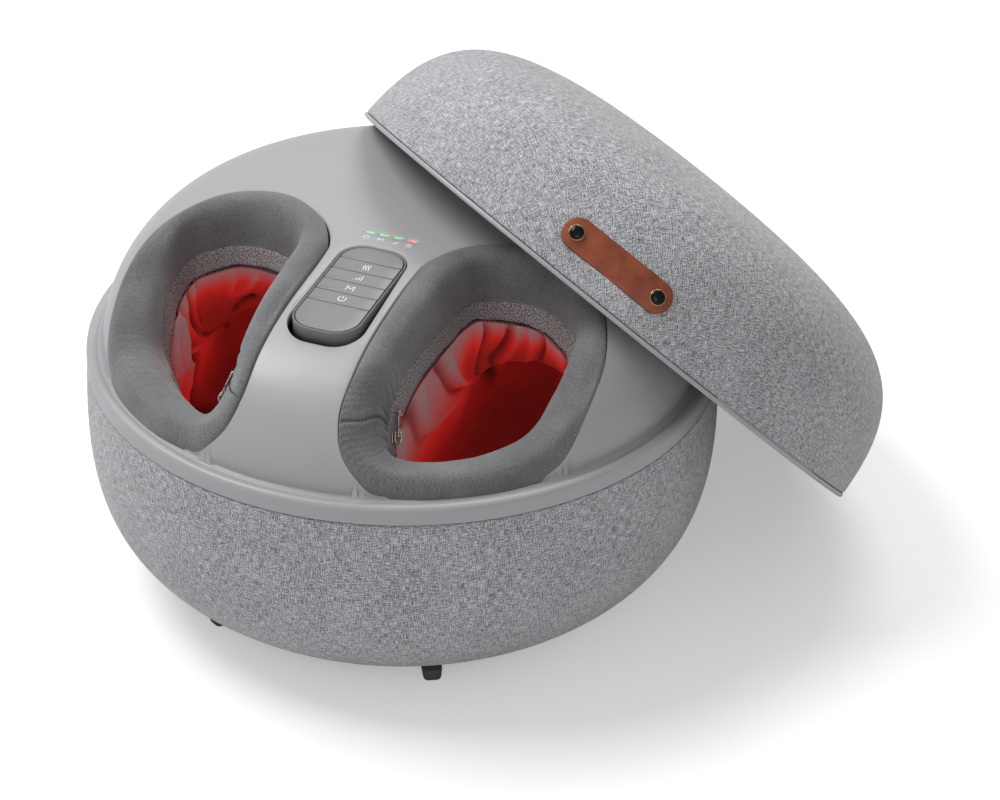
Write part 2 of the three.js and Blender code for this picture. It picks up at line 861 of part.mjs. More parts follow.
// Lid: drawn upright over its rim's centre, then leaned on the base
const lid_group = new THREE.Group();
lid_group.rotation.order = 'ZXY';
lid_group.rotation.z = -radians(lid_turn_deg);
lid_group.rotation.x = -radians(lid_lean_deg);
massager.add(lid_group);

const lid_curve = new THREE.CubicBezierCurve(
  new THREE.Vector2(base_radius, 0),
  new THREE.Vector2(lid_side_pull_radius, lid_side_pull_height),
  new THREE.Vector2(lid_top_pull_radius, lid_height),
  new THREE.Vector2(0, lid_height),
);

function lidPoint(share, inset) {
  const place = lid_curve.getPoint(share);
  const along = lid_curve.getTangent(share);
  return [Math.max(0, place.x - inset * along.y), place.y + inset * along.x];
}

// A lid layer from its rim edge at the given height up to the top, between two insets
function lidLayer(low, outer_inset, inner_inset) {
  const start = shareAtHeight(lid_curve, low);
  const shares = [];
  for (let i = 0; i <= lid_steps; i += 1) shares.push(start + (1 - start) * (i / lid_steps));
  const outer = shares.map((share) => lidPoint(share, outer_inset));
  const inner = shares.map((share) => lidPoint(share, inner_inset));
  outer[0][1] = low;
  inner[0][1] = low;
  outer.at(-1)[0] = 0;
  inner.at(-1)[0] = 0;
  return revolved([...outer.reverse(), ...inner]);
}

function lidRim(margin = 0) {
  const outer = base_radius + clearance + margin;
  const inner = base_radius - lid_rim_width - margin;
  const chamfer = lid_rim_height / 4;
  const high = lid_rim_height + margin;
  const profile = [[inner, -margin], [outer - chamfer, -margin], [outer, chamfer - margin], [outer, high],
    [inner, high], [inner, -margin]];
  return revolved(profile);
}

// The lid's low edge stands on the floor, and its reach is how far it stands from the base's middle
function placeLid(reach) {
  const turn = radians(lid_turn_deg);
  lid_group.position.set(
    reach * Math.sin(turn) + lid_side_shift * Math.cos(turn),
    reach * Math.cos(turn) - lid_side_shift * Math.sin(turn),
    (base_radius + clearance) * Math.sin(radians(lid_lean_deg)) - foot_height,
  );
  lid_group.updateMatrixWorld(true);
}

const lid_layer_low = lid_rim_height + clearance;
const lid_shell_inset = cover_thickness + clearance;
const lid_shell_inner = lid_shell_inset + lid_wall;
const lid_inside = joined(
  lidRim(clearance),
  lidLayer(lid_layer_low, lid_shell_inset, lid_shell_inner + clearance),
);
const leaned_on = solidOf(top_shell);

function lidMeetsShell(reach) {
  placeLid(reach);
  return !solidOf(lid_inside.clone().applyMatrix4(lid_group.matrixWorld)).intersect(leaned_on).isEmpty();
}

// It is pushed in until it rests on the shell, which is found by halving
let lid_near = 0;
let lid_far = 2 * base_radius;
for (let i = 0; i < curve_halvings; i += 1) {
  const reach = (lid_near + lid_far) / 2;
  if (lidMeetsShell(reach)) lid_near = reach;
  else lid_far = reach;
}
placeLid(lid_far);

addPiece('lid_rim', lidRim(), plastic(shell_grey), lid_group);
addPiece('lid_cover', lidLayer(lid_layer_low, 0, cover_thickness), cloth(fabric_grey), lid_group);
addPiece('lid_shell', lidLayer(lid_layer_low, lid_shell_inset, lid_shell_inner), plastic(shell_grey), lid_group);

// Leather tag: a round-ended strip bent over the lid's side, held by two rivets
function lidSidePlace(along, up, lift) {
  const share = shareAtHeight(lid_curve, tag_height + up);
  const [radius, height] = lidPoint(share, -lift);
  const turn = full_turn / 2 - radians(tag_turn_deg) + along / base_radius;
  return new THREE.Vector3(radius * Math.sin(turn), -radius * Math.cos(turn), height);
}

function leatherTag() {
  const straight = tag_length - tag_width;
  const rings = [];
  for (let i = 0; i <= tag_steps; i += 1) {
    const turn = quarter_turn * tag_round_share * ((2 * i) / tag_steps - 1);
    const along = (tag_length / 2) * (Math.sin(turn) / Math.sin(quarter_turn * tag_round_share));
    const past = Math.max(0, Math.abs(along) - straight / 2) / (tag_width / 2);
    const half = (tag_width / 2) * Math.max(Math.sqrt(Math.max(0, 1 - past * past)), tag_tip_share);
    const low = 2 * clearance;
    const high = low + tag_thickness;
    rings.push([
      lidSidePlace(along, -half, low),
      lidSidePlace(along, 0, low),
      lidSidePlace(along, half, low),
      lidSidePlace(along, half, high),
      lidSidePlace(along, 0, high),
      lidSidePlace(along, -half, high),
    ]);
  }
  return skin(rings, 'capped');
}

function rivet(along) {
  const foot_lift = 2 * clearance + tag_thickness + 2 * clearance;
  const seat = lidSidePlace(along, 0, foot_lift);
  const out = lidSidePlace(along, 0, foot_lift + rivet_height).sub(seat).normalize();
  const turned = new THREE.Quaternion().setFromUnitVectors(new THREE.Vector3(0, 0, 1), out);
  const profile = rivet_shares.map(([across, up]) => [rivet_radius * across, rivet_height * up]);
  return revolved(profile, small_segments).applyQuaternion(turned).translate(seat.x, seat.y, seat.z);
}

addPiece('lid_tag', leatherTag(), cloth(leather_brown), lid_group);
addPiece('tag_rivet_1', rivet(-rivet_spacing / 2), metal(dark_grey), lid_group);
addPiece('tag_rivet_2', rivet(rivet_spacing / 2), metal(dark_grey), lid_group);

// Massage mechanism, stacked downwards from the soles; all heights follow from these
const head_top = sole_height - clearance;
const plate_top = head_top - head_height;
const gear_top = plate_top - disc_plate_thickness;
const gear_low = gear_top - gear_thickness;
const frame_top = gear_low - 2 * clearance;
const frame_low = frame_top - frame_thickness;
const wheel_top = frame_low - wheel_drop;
const wheel_low = wheel_top - wheel_thickness;
const worm_height = (wheel_top + wheel_low) / 2;
const worm_offset = wheel_radius + worm_radius + clearance;
const worm_x = liner_middle_x - worm_offset;
const motor_low_y = disc_row_middle_y + worm_length / 2 + motor_gap;
const lamp_y = disc_row_middle_y - disc_pitch / 2;
const disc_ys = disc_names.map((_, i) => disc_row_middle_y + (i - (disc_names.length - 1) / 2) * disc_pitch);

// A gear's outline: straight-sided teeth about the pitch circle, with play between them
function gearOutline(pitch_radius, teeth, start_share) {
  const outline = [];
  const tip = pitch_radius + tooth_height / 2 - tooth_play / 2;
  const root = pitch_radius - tooth_height / 2 - tooth_play / 2;
  const corners = [[root, -tooth_root_share / 2], [tip, -tooth_tip_share / 2],
    [tip, tooth_tip_share / 2], [root, tooth_root_share / 2]];
  for (let i = 0; i < teeth; i += 1) {
    corners.forEach(([radius, share]) => {
      const turn = (full_turn * (i + start_share + share)) / teeth;
      outline.push(new THREE.Vector2(radius * Math.cos(turn), radius * Math.sin(turn)));
    });
  }
  return outline;
}

function massageHead() {
  const low = plate_top - clearance;
  const profile = head_shares.map(([across, up]) => [head_radius * across, low + (head_top - low) * up]);
  return revolved([[0, low], ...profile], head_segments).translate(head_circle, 0, 0);
}

function massageDisc(shaft_low) {
  const rim = extruded(gearOutline(disc_pitch / 2, gear_teeth, mesh_share), gear_low, gear_top);
  const plate = rod(disc_plate_radius, gear_top - clearance, plate_top, disc_segments);
  const shaft = rod(disc_shaft_radius, shaft_low, gear_low + clearance);
  const heads = [];
  for (let i = 0; i < head_count; i += 1) heads.push(massageHead().rotateZ((full_turn * i) / head_count));
  return joined(rim, plate, shaft, ...heads);
}

function wormWheel() {
  const outline = gearOutline(wheel_radius - tooth_height / 2, wheel_teeth, 0);
  const bore = roundOutline(disc_shaft_radius + clearance, 0, 0);
  return extruded(outline, wheel_low, wheel_top, [bore]);
}

// Worm: a thread that winds along a shaft, lying along Y beside the wheel
function worm() {
  const rings = [];
  const steps = worm_turns * worm_steps;
  const half = worm_length / 2;
  const ring = (radiusAt, y) => {
    const points = [];
    for (let j = 0; j < worm_sides; j += 1) {
      const turn = (full_turn * j) / worm_sides;
      const radius = radiusAt(turn);
      points.push(new THREE.Vector3(radius * Math.cos(turn), y, radius * Math.sin(turn)));
    }
    return points;
  };
  const even = () => worm_shaft_radius;
  rings.push(ring(even, -half - motor_gap), ring(even, -half));
  for (let i = 0; i <= steps; i += 1) {
    const y = -half + (worm_length * i) / steps;
    const thread = (turn) => {
      const height = (1 + Math.cos(turn - (full_turn * i) / worm_steps)) / 2;
      return THREE.MathUtils.lerp(worm_root_radius, worm_radius, height);
    };
    rings.push(ring(thread, y));
  }
  rings.push(ring(even, half), ring(even, half + 2 * motor_gap));
  return skin(rings, 'capped').translate(worm_x, disc_row_middle_y, worm_height);
}

function motor() {
  const can = rod(motor_radius, 0, motor_length, small_segments);
  const mouth = rod(worm_shaft_radius + clearance, -overrun, motor_gap + clearance);
  return cutBy(can, mouth).rotateX(-quarter_turn).translate(worm_x, motor_low_y, worm_height);
}

function mechanismFrame() {
  const ends = disc_pitch + frame_end;
  const half = frame_half_width;
  const outline = [[-half, -ends], [half, -ends], [half, ends], [-half, ends]]
    .map(([x, y]) => new THREE.Vector2(liner_middle_x + x, disc_row_middle_y + y));
  const bores = disc_ys.map((y) => roundOutline(disc_shaft_radius + clearance, liner_middle_x, y));
  const plate = extruded(outline, frame_low, frame_top, bores);
  const leg_x = half - frame_leg / 2;
  const leg_y = frame_leg_reach - frame_leg / 2;
  const legs = [];
  [-1, 1].forEach((across) => [-1, 1].forEach((along) => {
    legs.push(block(frame_leg, frame_leg, plate_thickness + clearance, frame_low + clearance,
      liner_middle_x + across * leg_x, disc_row_middle_y + along * leg_y));
  }));
  const ear = lamp_offset + lamp_ear;
  const lamp_plate = block(ear, 2 * lamp_ear, frame_low, frame_top, liner_middle_x + ear / 2, lamp_y);
  const bore = rod(disc_shaft_radius + clearance, frame_low - overrun, frame_top + overrun);
  const lamp_bores = disc_ys.map((y) => bore.clone().translate(liner_middle_x, y, 0));
  return joined(cutBy(lamp_plate, ...lamp_bores), plate, ...legs);
}

function heatLamp() {
  const low = frame_top + clearance;
  const high = sole_height - 2 * clearance;
  const tip = lamp_radius * lamp_tip_share;
  const profile = [[0, high], [tip, high - lamp_radius + tip], [lamp_radius, high - lamp_radius],
    [lamp_radius, low], [0, low]];
  return revolved(profile, small_segments).translate(liner_middle_x + lamp_offset, lamp_y, 0);
}

// Blocks on the bottom plate that carry the motors and the free ends of the worms
function cradles() {
  const low = plate_thickness / 2;
  const bearing_y = disc_row_middle_y - worm_length / 2 - motor_gap / 2 - clearance;
  const motor_y = motor_low_y + motor_length / 2;
  const right = [
    block(cradle_width, cradle_length, low, worm_height, worm_x, motor_y),
    block(cradle_width / 2, motor_gap / 2, low, worm_height + cradle_width / 4, worm_x, bearing_y),
  ];
  return right.concat(right.map(mirrored));
}

function motorSpaces() {
  const turned = (radius, low, high) => rod(radius, low, high).rotateX(-quarter_turn);
  const can = turned(motor_radius + clearance, 0, motor_length).translate(worm_x, motor_low_y, worm_height);
  const shaft = turned(worm_shaft_radius + clearance, -worm_length, 0)
    .translate(worm_x, disc_row_middle_y - worm_length / 2, worm_height);
  return [can, mirrored(can), shaft, mirrored(shaft)];
}

// Main board on four posts, and the power inlet in the back of the base
function boardPosts() {
  const x = main_board_width / 2 - board_post / 2;
  const y = main_board_length / 2 - board_post / 2;
  const posts = [];
  [-1, 1].forEach((across) => [-1, 1].forEach((along) => {
    posts.push(block(board_post, board_post, plate_thickness / 2, plate_thickness + board_post_height,
      across * x, main_board_y + along * y));
  }));
  return posts;
}

function mainBoard() {
  const low = plate_thickness + board_post_height + clearance;
  const top = low + board_thickness;
  const board = block(main_board_width, main_board_length, low, top, 0, main_board_y);
  const chips = chip_shares.map(([across, along, size]) => block(
    size * main_board_width, size * main_board_width, low + board_thickness / 2, top + size * chip_height,
    across * main_board_width, main_board_y + along * main_board_length,
  ));
  return joined(board, ...chips);
}

function powerInlet() {
  const body = rod(inlet_radius, inlet_proud - inlet_length, inlet_proud);
  const bore = rod(inlet_bore_radius, inlet_proud - inlet_bore_depth, inlet_proud + overrun);
  const bore_low = inlet_proud - inlet_bore_depth;
  const pin = rod(inlet_pin_radius, bore_low - clearance, inlet_proud - clearance, pin_sides);
  return joined(cutBy(body, bore), pin).rotateX(-quarter_turn).translate(0, inlet_radius_here, inlet_height);
}

addPiece('bottom_plate', bottomPlate(), plastic(dark_grey));
addPiece('main_board', mainBoard(), plastic(board_green));
addPiece('power_inlet', powerInlet(), plastic(dark_grey));

// Both mechanisms: the middle disc's shaft goes on down through the worm wheel
const end_shaft_low = frame_low;
const middle_shaft_low = wheel_low;
disc_names.forEach((name, order) => {
  const shaft_low = name === 'middle_disc' ? middle_shaft_low : end_shaft_low;
  const disc = massageDisc(shaft_low).translate(liner_middle_x, disc_ys[order], 0);
  addPair(name, disc, plastic(panel_grey));
});
addPair('worm_wheel', wormWheel().translate(liner_middle_x, disc_row_middle_y, 0), plastic(shell_grey));
addPair('worm', worm(), metal(panel_grey));
addPair('motor', motor(), metal(key_grey));
addPair('mechanism_frame', mechanismFrame(), plastic(dark_grey));
addPair('heat_lamp', heatLamp(), plastic(liner_red, 0.3));

export default massager;
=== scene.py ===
"""Looks of a round foot massager: fabric-sided base, two padded wells, and a lid leaning on its back."""
import json
import math

import bmesh
import bpy
import numpy as np
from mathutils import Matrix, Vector
from mathutils.geometry import delaunay_2d_cdt


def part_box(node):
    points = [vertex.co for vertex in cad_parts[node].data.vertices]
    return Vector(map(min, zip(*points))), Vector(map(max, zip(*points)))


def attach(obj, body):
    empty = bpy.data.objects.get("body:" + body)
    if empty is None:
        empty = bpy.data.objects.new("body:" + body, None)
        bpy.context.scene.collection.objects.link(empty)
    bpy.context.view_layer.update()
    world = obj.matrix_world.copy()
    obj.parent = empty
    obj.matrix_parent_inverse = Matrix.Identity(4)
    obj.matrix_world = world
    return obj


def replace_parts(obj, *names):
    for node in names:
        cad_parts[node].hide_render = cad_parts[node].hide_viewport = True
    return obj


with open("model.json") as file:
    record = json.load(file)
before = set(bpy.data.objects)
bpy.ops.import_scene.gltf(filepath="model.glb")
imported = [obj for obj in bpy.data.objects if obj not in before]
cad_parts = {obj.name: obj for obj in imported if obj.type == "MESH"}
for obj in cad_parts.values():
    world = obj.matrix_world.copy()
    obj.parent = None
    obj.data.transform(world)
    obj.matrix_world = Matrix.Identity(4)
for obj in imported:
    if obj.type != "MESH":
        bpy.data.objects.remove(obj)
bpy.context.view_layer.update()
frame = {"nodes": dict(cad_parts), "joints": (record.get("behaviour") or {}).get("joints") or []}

# Side cover: a tube of melange polyester weave, stretched over the base wall and
# glued down. Its rounded upper hem stops just under the lip of the top shell, so a
# fine dark line shows between them.
mm = 0.001
cover_pulls = [(153, 0), (205, 31), (218, 61), (212, 151)]
cover_thickness = 2.5
cover_steps = 80
round_steps = 288
weave_dark = "4A4A4E"
weave_mid = "9E9EA2"
weave_light = "E4E4E8"
slub_width = 0.66
slub_length = 6.0
fibre_grain = 0.7
thread_pitch = 1.3


def linear(text):
    """The linear colour of an sRGB hex text: below 0.04045 divided by 12.92, above it a power of 2.4."""
    levels = np.array([int(text[i:i + 2], 16) / 255 for i in (0, 2, 4)])
    curve = np.where(levels <= 0.04045, levels / 12.92, ((levels + 0.055) / 1.055) ** 2.4)
    return (*curve.tolist(), 1.0)


def new_finish(name, **surface_values):
    """A material with one Principled shader, whose even values are set on its own sockets."""
    finish = bpy.data.materials.new(name)
    finish.use_nodes = True
    shader = finish.node_tree.nodes["Principled BSDF"]
    for key, value in surface_values.items():
        shader.inputs[key.replace("_", " ")].default_value = value
    return finish, finish.node_tree, shader


def add(tree, kind, inputs=None, stops=None, **settings):
    """Adds one node with its settings; each input is a value, or another node's output to link.

    stops are the places and hex colours of a colour ramp."""
    node = tree.nodes.new("ShaderNode" + kind)
    for name, value in settings.items():
        setattr(node, name, value)
    for name, value in (inputs or {}).items():
        if isinstance(value, bpy.types.NodeSocket):
            tree.links.new(value, node.inputs[name])
        else:
            node.inputs[name].default_value = value
    if stops:
        while len(node.color_ramp.elements) < len(stops):
            node.color_ramp.elements.new(0.5)
        for element, (place, text) in zip(node.color_ramp.elements, stops):
            element.position = place
            element.color = linear(text)
    return node


def tidy_mesh(obj):
    """Merges doubled points, turns faces outwards and shades them smooth."""
    work = bmesh.new()
    work.from_mesh(obj.data)
    bmesh.ops.remove_doubles(work, verts=work.verts, dist=0.002 * mm)
    bmesh.ops.dissolve_degenerate(work, edges=work.edges, dist=0.0005 * mm)
    bmesh.ops.recalc_face_normals(work, faces=work.faces)
    work.to_mesh(obj.data)
    work.free()
    obj.data.polygons.foreach_set("use_smooth", np.ones(len(obj.data.polygons), bool))
    obj.data.update()
    return obj


def new_piece(name, points, faces, finish):
    """An object at the origin with its place in its mesh; points are in millimetres."""
    mesh = bpy.data.meshes.new(name)
    mesh.from_pydata((np.asarray(points, float).reshape(-1, 3) * mm).tolist(), [], faces)
    mesh.materials.append(finish)
    obj = bpy.data.objects.new(name, mesh)
    bpy.context.scene.collection.objects.link(obj)
    return obj


def grid_quads(rows, columns, around=True, along=False):
    """The row and column of each quad's four corners in a grid of points, and its points' numbers.

    around joins the last column to the first, along the last row to the first."""
    i, j = np.mgrid[0:rows - (not along), 0:columns - (not around)]
    corners = [(i, j), (i, j + 1), (i + 1, j + 1), (i + 1, j)]
    quads = [row % rows * columns + column % columns for row, column in corners]
    return corners, np.stack(quads, -1).reshape(-1, 4)


def surface(name, points, finish, around=True, along=False, uv=None, marks=None):
    """A closed mesh over a grid of points, one quad between four neighbours.

    uv has one more column or row where they join, in millimetres; marks are named values, one a
    point, for the material."""
    corners, quads = grid_quads(*points.shape[:2], around, along)
    obj = new_piece(name, points, quads.tolist(), finish)
    if uv is not None:
        places = np.stack([uv[row, column] for row, column in corners], 2).reshape(-1)
        obj.data.uv_layers.new(name="weave").data.foreach_set("uv", places * mm)
    for label, values in (marks or {}).items():
        layer = obj.data.attributes.new(label, "FLOAT", "POINT")
        layer.data.foreach_set("value", np.asarray(values, np.float32).ravel())
    return tidy_mesh(obj)


def runs(line):
    """Distance along a line of points from its first one."""
    return np.concatenate([[0], np.cumsum(np.linalg.norm(np.diff(line, axis=0), axis=-1))])


def angles(count):
    """Angles evenly round a full turn."""
    return np.linspace(0, 2 * np.pi, count, endpoint=False)


def sampled(line, places):
    """Points of a line at distances along it."""
    run = runs(line)
    return np.stack([np.interp(places, run, values) for values in line.T], 1)


def unit(ways, least=1e-9):
    """Directions made one long; one shorter than the least length stays shorter."""
    return ways / np.maximum(np.linalg.norm(ways, axis=-1, keepdims=True), least)


def turned(name, profile, finish, closed=True, place=None, flat=False, steps=round_steps):
    """A profile of (radius, height) turned about the upright axis.

    u runs round and v along the profile, or, laid flat, both spread out from the profile's first
    pole as cloth does over a dome. place moves the points."""
    profile = np.asarray(profile, float)
    turn = angles(steps)
    out, up = profile[:, :1], profile[:, 1:]
    points = np.stack([out * np.sin(turn), -out * np.cos(turn), np.repeat(up, steps, 1)], -1)
    ends = np.linspace(0, 2 * np.pi, steps + 1)
    run = runs(np.vstack([profile, profile[:1]]) if closed else profile)[:, None]
    if flat:
        away = np.abs(run - run[profile[:, 0].argmin()])
        uv = np.stack([away * np.sin(ends), away * np.cos(ends)], -1)
    else:
        uv = np.stack([ends * profile[:, 0].max() + 0 * run, run + 0 * ends], -1)
    return surface(name, points if place is None else place(points), finish, True, closed, uv)


def bezier(pulls, shares):
    """A cubic curve: each of four pulls weighted by its Bernstein share."""
    a, b, c, d = np.asarray(pulls, float)
    t = np.asarray(shares, float)[:, None]
    return a * (1 - t) ** 3 + 3 * b * t * (1 - t) ** 2 + 3 * c * t**2 * (1 - t) + d * t**3


def moved_in(line, distance):
    """A flat line moved to its left by a distance, square to its own direction."""
    along = unit(np.gradient(line, axis=0))
    return line + np.stack([-along[:, 1], along[:, 0]], 1) * np.reshape(distance, (-1, 1))


def band(line, thickness, open_end=False):
    """A strip inside a line, with half-round edges: near an edge the half width follows a circle.

    With an open end the strip keeps its width there, as at a pole."""
    half = thickness / 2
    end = runs(line)[-1]
    edge = half * (1 - np.cos(np.linspace(0, np.pi / 2, 7)))[:-1]
    places = np.unique(np.concatenate([edge, np.linspace(half, end - half, len(line)), end - edge]))
    if open_end:
        places = np.append(places[places <= end - half], end)
    dense = sampled(line, places)
    left = np.minimum(places, np.inf if open_end else end - places) / half
    width = half * np.sqrt(np.clip(1 - (1 - np.minimum(left, 1)) ** 2, 0, 1))
    return moved_in(dense, half - width), moved_in(dense, half + width)


def woven_melange():
    """Polyester melange, plain weave: light and dark fibres are spun together, so warp and weft
    show as short streaks over a fine grain. Real threads are 0.6 mm; here 1.3 mm, to show."""
    finish, tree, shader = new_finish("woven_melange_polyester", Roughness=0.92, Sheen_Weight=0.25, IOR=1.45)
    shader.inputs["Sheen Roughness"].default_value = 0.5
    cloth = add(tree, "UVMap", uv_map="weave").outputs["UV"]
    across, along = 1 / (slub_width * mm), 1 / (slub_length * mm)
    warp = add(tree, "Mapping", {"Vector": cloth, "Scale": (across, along, 1)})
    weft = add(tree, "Mapping", {"Vector": cloth, "Scale": (along, across, 1)})
    warps = add(tree, "TexNoise", {"Vector": warp.outputs[0], "Scale": 1, "Detail": 2})
    wefts = add(tree, "TexNoise", {"Vector": weft.outputs[0], "Scale": 1, "Detail": 2})
    grain = add(tree, "TexNoise", {"Vector": cloth, "Scale": 1 / (fibre_grain * mm), "Detail": 1.5,
                                   "Roughness": 0.75})
    clouds = add(tree, "TexNoise", {"Vector": cloth, "Scale": 1 / (35 * mm), "Detail": 3})
    streaks = add(tree, "Math", {0: warps.outputs[0], 1: wefts.outputs[0]}, operation="ADD")
    doubled = add(tree, "Math", {0: grain.outputs[0], 1: 2.0, 2: streaks.outputs[0]},
                  operation="MULTIPLY_ADD")
    shaded = add(tree, "Math", {0: clouds.outputs[0], 1: 0.15, 2: doubled.outputs[0]},
                 operation="MULTIPLY_ADD")
    tone = add(tree, "Math", {0: shaded.outputs[0], 1: 4.15}, operation="DIVIDE")
    mix = add(tree, "ValToRGB", {"Fac": tone.outputs[0]},
              stops=[(0.42, weave_dark), (0.5, weave_mid), (0.58, weave_light)])
    tree.links.new(mix.outputs[0], shader.inputs["Base Color"])
    threads = add(tree, "VectorMath", {0: cloth, "Scale": 2 * math.pi / (thread_pitch * mm)},
                  operation="SCALE")
    split = add(tree, "SeparateXYZ", {0: threads.outputs[0]})
    over = add(tree, "Math", {0: split.outputs[0]}, operation="SINE")
    under = add(tree, "Math", {0: split.outputs[1]}, operation="SINE")
    weave = add(tree, "Math", {0: over.outputs[0], 1: under.outputs[0]}, operation="MULTIPLY")
    height = add(tree, "Math", {0: weave.outputs[0], 1: 0.2, 2: tone.outputs[0]}, operation="MULTIPLY_ADD")
    bump = add(tree, "Bump", {"Height": height.outputs[0], "Strength": 0.55, "Distance": 0.5 * mm})
    tree.links.new(bump.outputs[0], shader.inputs["Normal"])
    return finish


weave = woven_melange()
cover_outer, cover_inner = band(bezier(cover_pulls, np.linspace(0, 1, cover_steps)), cover_thickness)
side_cover = turned("side_cover_cloth", np.vstack([cover_outer, cover_inner[::-1]]), weave)
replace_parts(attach(side_cover, "base"), "side_cover")


# Top shell: one injection-moulded ABS dome, satin light grey, with openings for the wells,
# the panel and the indicator lights. Its edges are rolled over, and a soft groove runs
# between the dome's foot and the lip.
dome_radius = 201.0
dome_foot = 164.0
dome_rise = 84.5
front_drop = 16.0
back_rise = 2.0
flatness, shoulder = 6.0, 1.7
shell_wall = 3.0
shell_edge = 1.8
pad_gap = 1.6
grid_step = 4.5
well_edge = 33.0
well_width, well_length = 133.0, 193.0
well_shares = np.array([
    [0.004, 0.32, 0.172, 0.345],
    [0.022, 0.22, 0.182, 0.252],
    [0.117, 0.11, 0.222, 0.168],
    [0.289, 0.025, 0.322, 0.13],
    [0.444, 0, 0.452, 0.11],
    [0.614, 0.02, 0.572, 0.12],
    [0.777, 0.095, 0.68, 0.152],
    [0.909, 0.2, 0.784, 0.206],
    [0.983, 0.32, 0.808, 0.315],
    [1, 0.43, 0.782, 0.412],
    [0.964, 0.598, 0.737, 0.505],
    [0.886, 0.6855, 0.632, 0.585],
    [0.714, 0.812, 0.518, 0.668],
    [0.471, 0.924, 0.398, 0.731],
    [0.292, 0.9715, 0.301, 0.788],
    [0.152, 0.997, 0.226, 0.829],
    [0.046, 0.982, 0.188, 0.825],
    [0.004, 0.93, 0.152, 0.785],
    [0, 0.8, 0.148, 0.72],
    [0, 0.56, 0.15, 0.58],
])
plan_radius = 202.6
lip_places = np.array([
    [202.6, 164.0], [203.1, 163.4], [204.2, 163.1], [206.0, 163.8], [208.4, 164.3],
    [210.4, 163.6], [211.6, 162.0], [212.0, 159.6], [212.0, 155.0], [211.9, 151.9], [211.3, 151.35],
])
panel_middle = np.array([0, -87.5, 243.6])
panel_slope = math.radians(3.2)
panel_width, panel_length, panel_corner = 46.4, 101.0, 17.0
light_pitch, light_row = 10.0, -21.0
light_length, light_width = 6.6, 1.7
satin_grey = "A9A9AC"


def spline(points, shares, closed=True):
    """A smooth curve through points: between two of them a cubic, whose slopes weigh the
    neighbours by the square roots of their distances. Shares run from 0 to 1."""
    points = np.asarray(points, float)
    if not closed:
        points = np.concatenate([[2 * points[0] - points[1]], points, [2 * points[-1] - points[-2]]])
    count = len(points) if closed else len(points) - 3
    place = np.asarray(shares, float) * count
    i = np.floor(place).astype(int)
    if not closed:
        i = np.clip(i, 0, count - 1)
    weight = (place - i).reshape(-1, *[1] * (points.ndim - 1))
    a, b, c, d = (points[(i + k) % len(points)] for k in ((-1, 0, 1, 2) if closed else (0, 1, 2, 3)))
    before, here, after = (np.maximum(np.linalg.norm(q - p, axis=-1, keepdims=True), 1e-6) ** 0.5
                           for p, q in ((a, b), (b, c), (c, d)))
    start = ((b - a) / before - (c - a) / (before + here) + (c - b) / here) * here
    end = ((c - b) / here - (d - b) / (here + after) + (d - c) / after) * here
    return (b + start * weight + (3 * (c - b) - 2 * start - end) * weight**2
            + (2 * (b - c) + start + end) * weight**3)


def dome_height(x, y):
    """Height of the dome: a soft-cornered curve of the radius, leaned forwards along y."""
    v = y / dome_radius
    lean = (back_rise + front_drop) / 2 * v + (back_rise - front_drop) / 2 * v**2
    out = np.clip(np.hypot(x, y) / dome_radius, 0, 1)
    return dome_foot + (dome_rise + lean) * (1 - out**flatness) ** (1 / shoulder)


def well_line(columns, shares):
    """Plan of the mouth or the throat of the right well at shares of its length."""
    rows = well_shares[:, columns]
    places = np.stack([well_edge + well_width * rows[:, 0], -well_length * rows[:, 1]], 1)
    return spline(places, shares)


def outwards(loop):
    """Square to a clockwise loop in plan, pointing out of it."""
    along = unit(np.roll(loop, -1, 0) - np.roll(loop, 1, 0))
    return np.stack([-along[:, 1], along[:, 0]], 1)


def even_shares(count):
    """Shares round the well's mouth that are equally far apart along it."""
    fine = np.linspace(0, 1, 4001)
    run = runs(well_line([0, 1], fine))
    return np.interp(np.linspace(0, run[-1], count, endpoint=False), run, fine)


def round_box(width, length, corner, steps=12):
    """Clockwise outline of a rectangle with round corners."""
    quarter = np.linspace(0, np.pi / 2, steps)
    middles = [(1, -1), (-1, -1), (-1, 1), (1, 1)]
    parts = []
    for k, (across, along) in enumerate(middles):
        turn = -quarter - k * np.pi / 2
        middle = np.array([across * (width / 2 - corner), along * (length / 2 - corner)])
        parts.append(middle + corner * np.stack([np.cos(turn), np.sin(turn)], 1))
    return np.concatenate(parts)


def inside(points, loop):
    """True where a point lies in a loop: an odd number of its sides is crossed going right."""
    x, y = points[:, :1], points[:, 1:]
    x1, y1 = loop.T
    x2, y2 = np.roll(loop, -1, 0).T
    crossed = (y1 > y) != (y2 > y)
    at = x1 + (y - y1) * (x2 - x1) / np.where(y2 == y1, 1e-9, y2 - y1)
    return (crossed & (x < at)).sum(1) % 2 == 1


def rolled_edge(loop, radius, depth, steps=5):
    """Rings from the shell's face round a quarter circle into an opening and down its wall."""
    normal = outwards(loop)
    rings = []
    for turn in np.linspace(0, np.pi / 2, steps):
        out = loop + normal * (radius * (1 - np.sin(turn)))[:, None]
        rings.append(np.column_stack([out, dome_height(*out.T) - radius * (1 - np.cos(turn))]))
    low = rings[-1] - [0, 0, depth]
    return rings + [low]


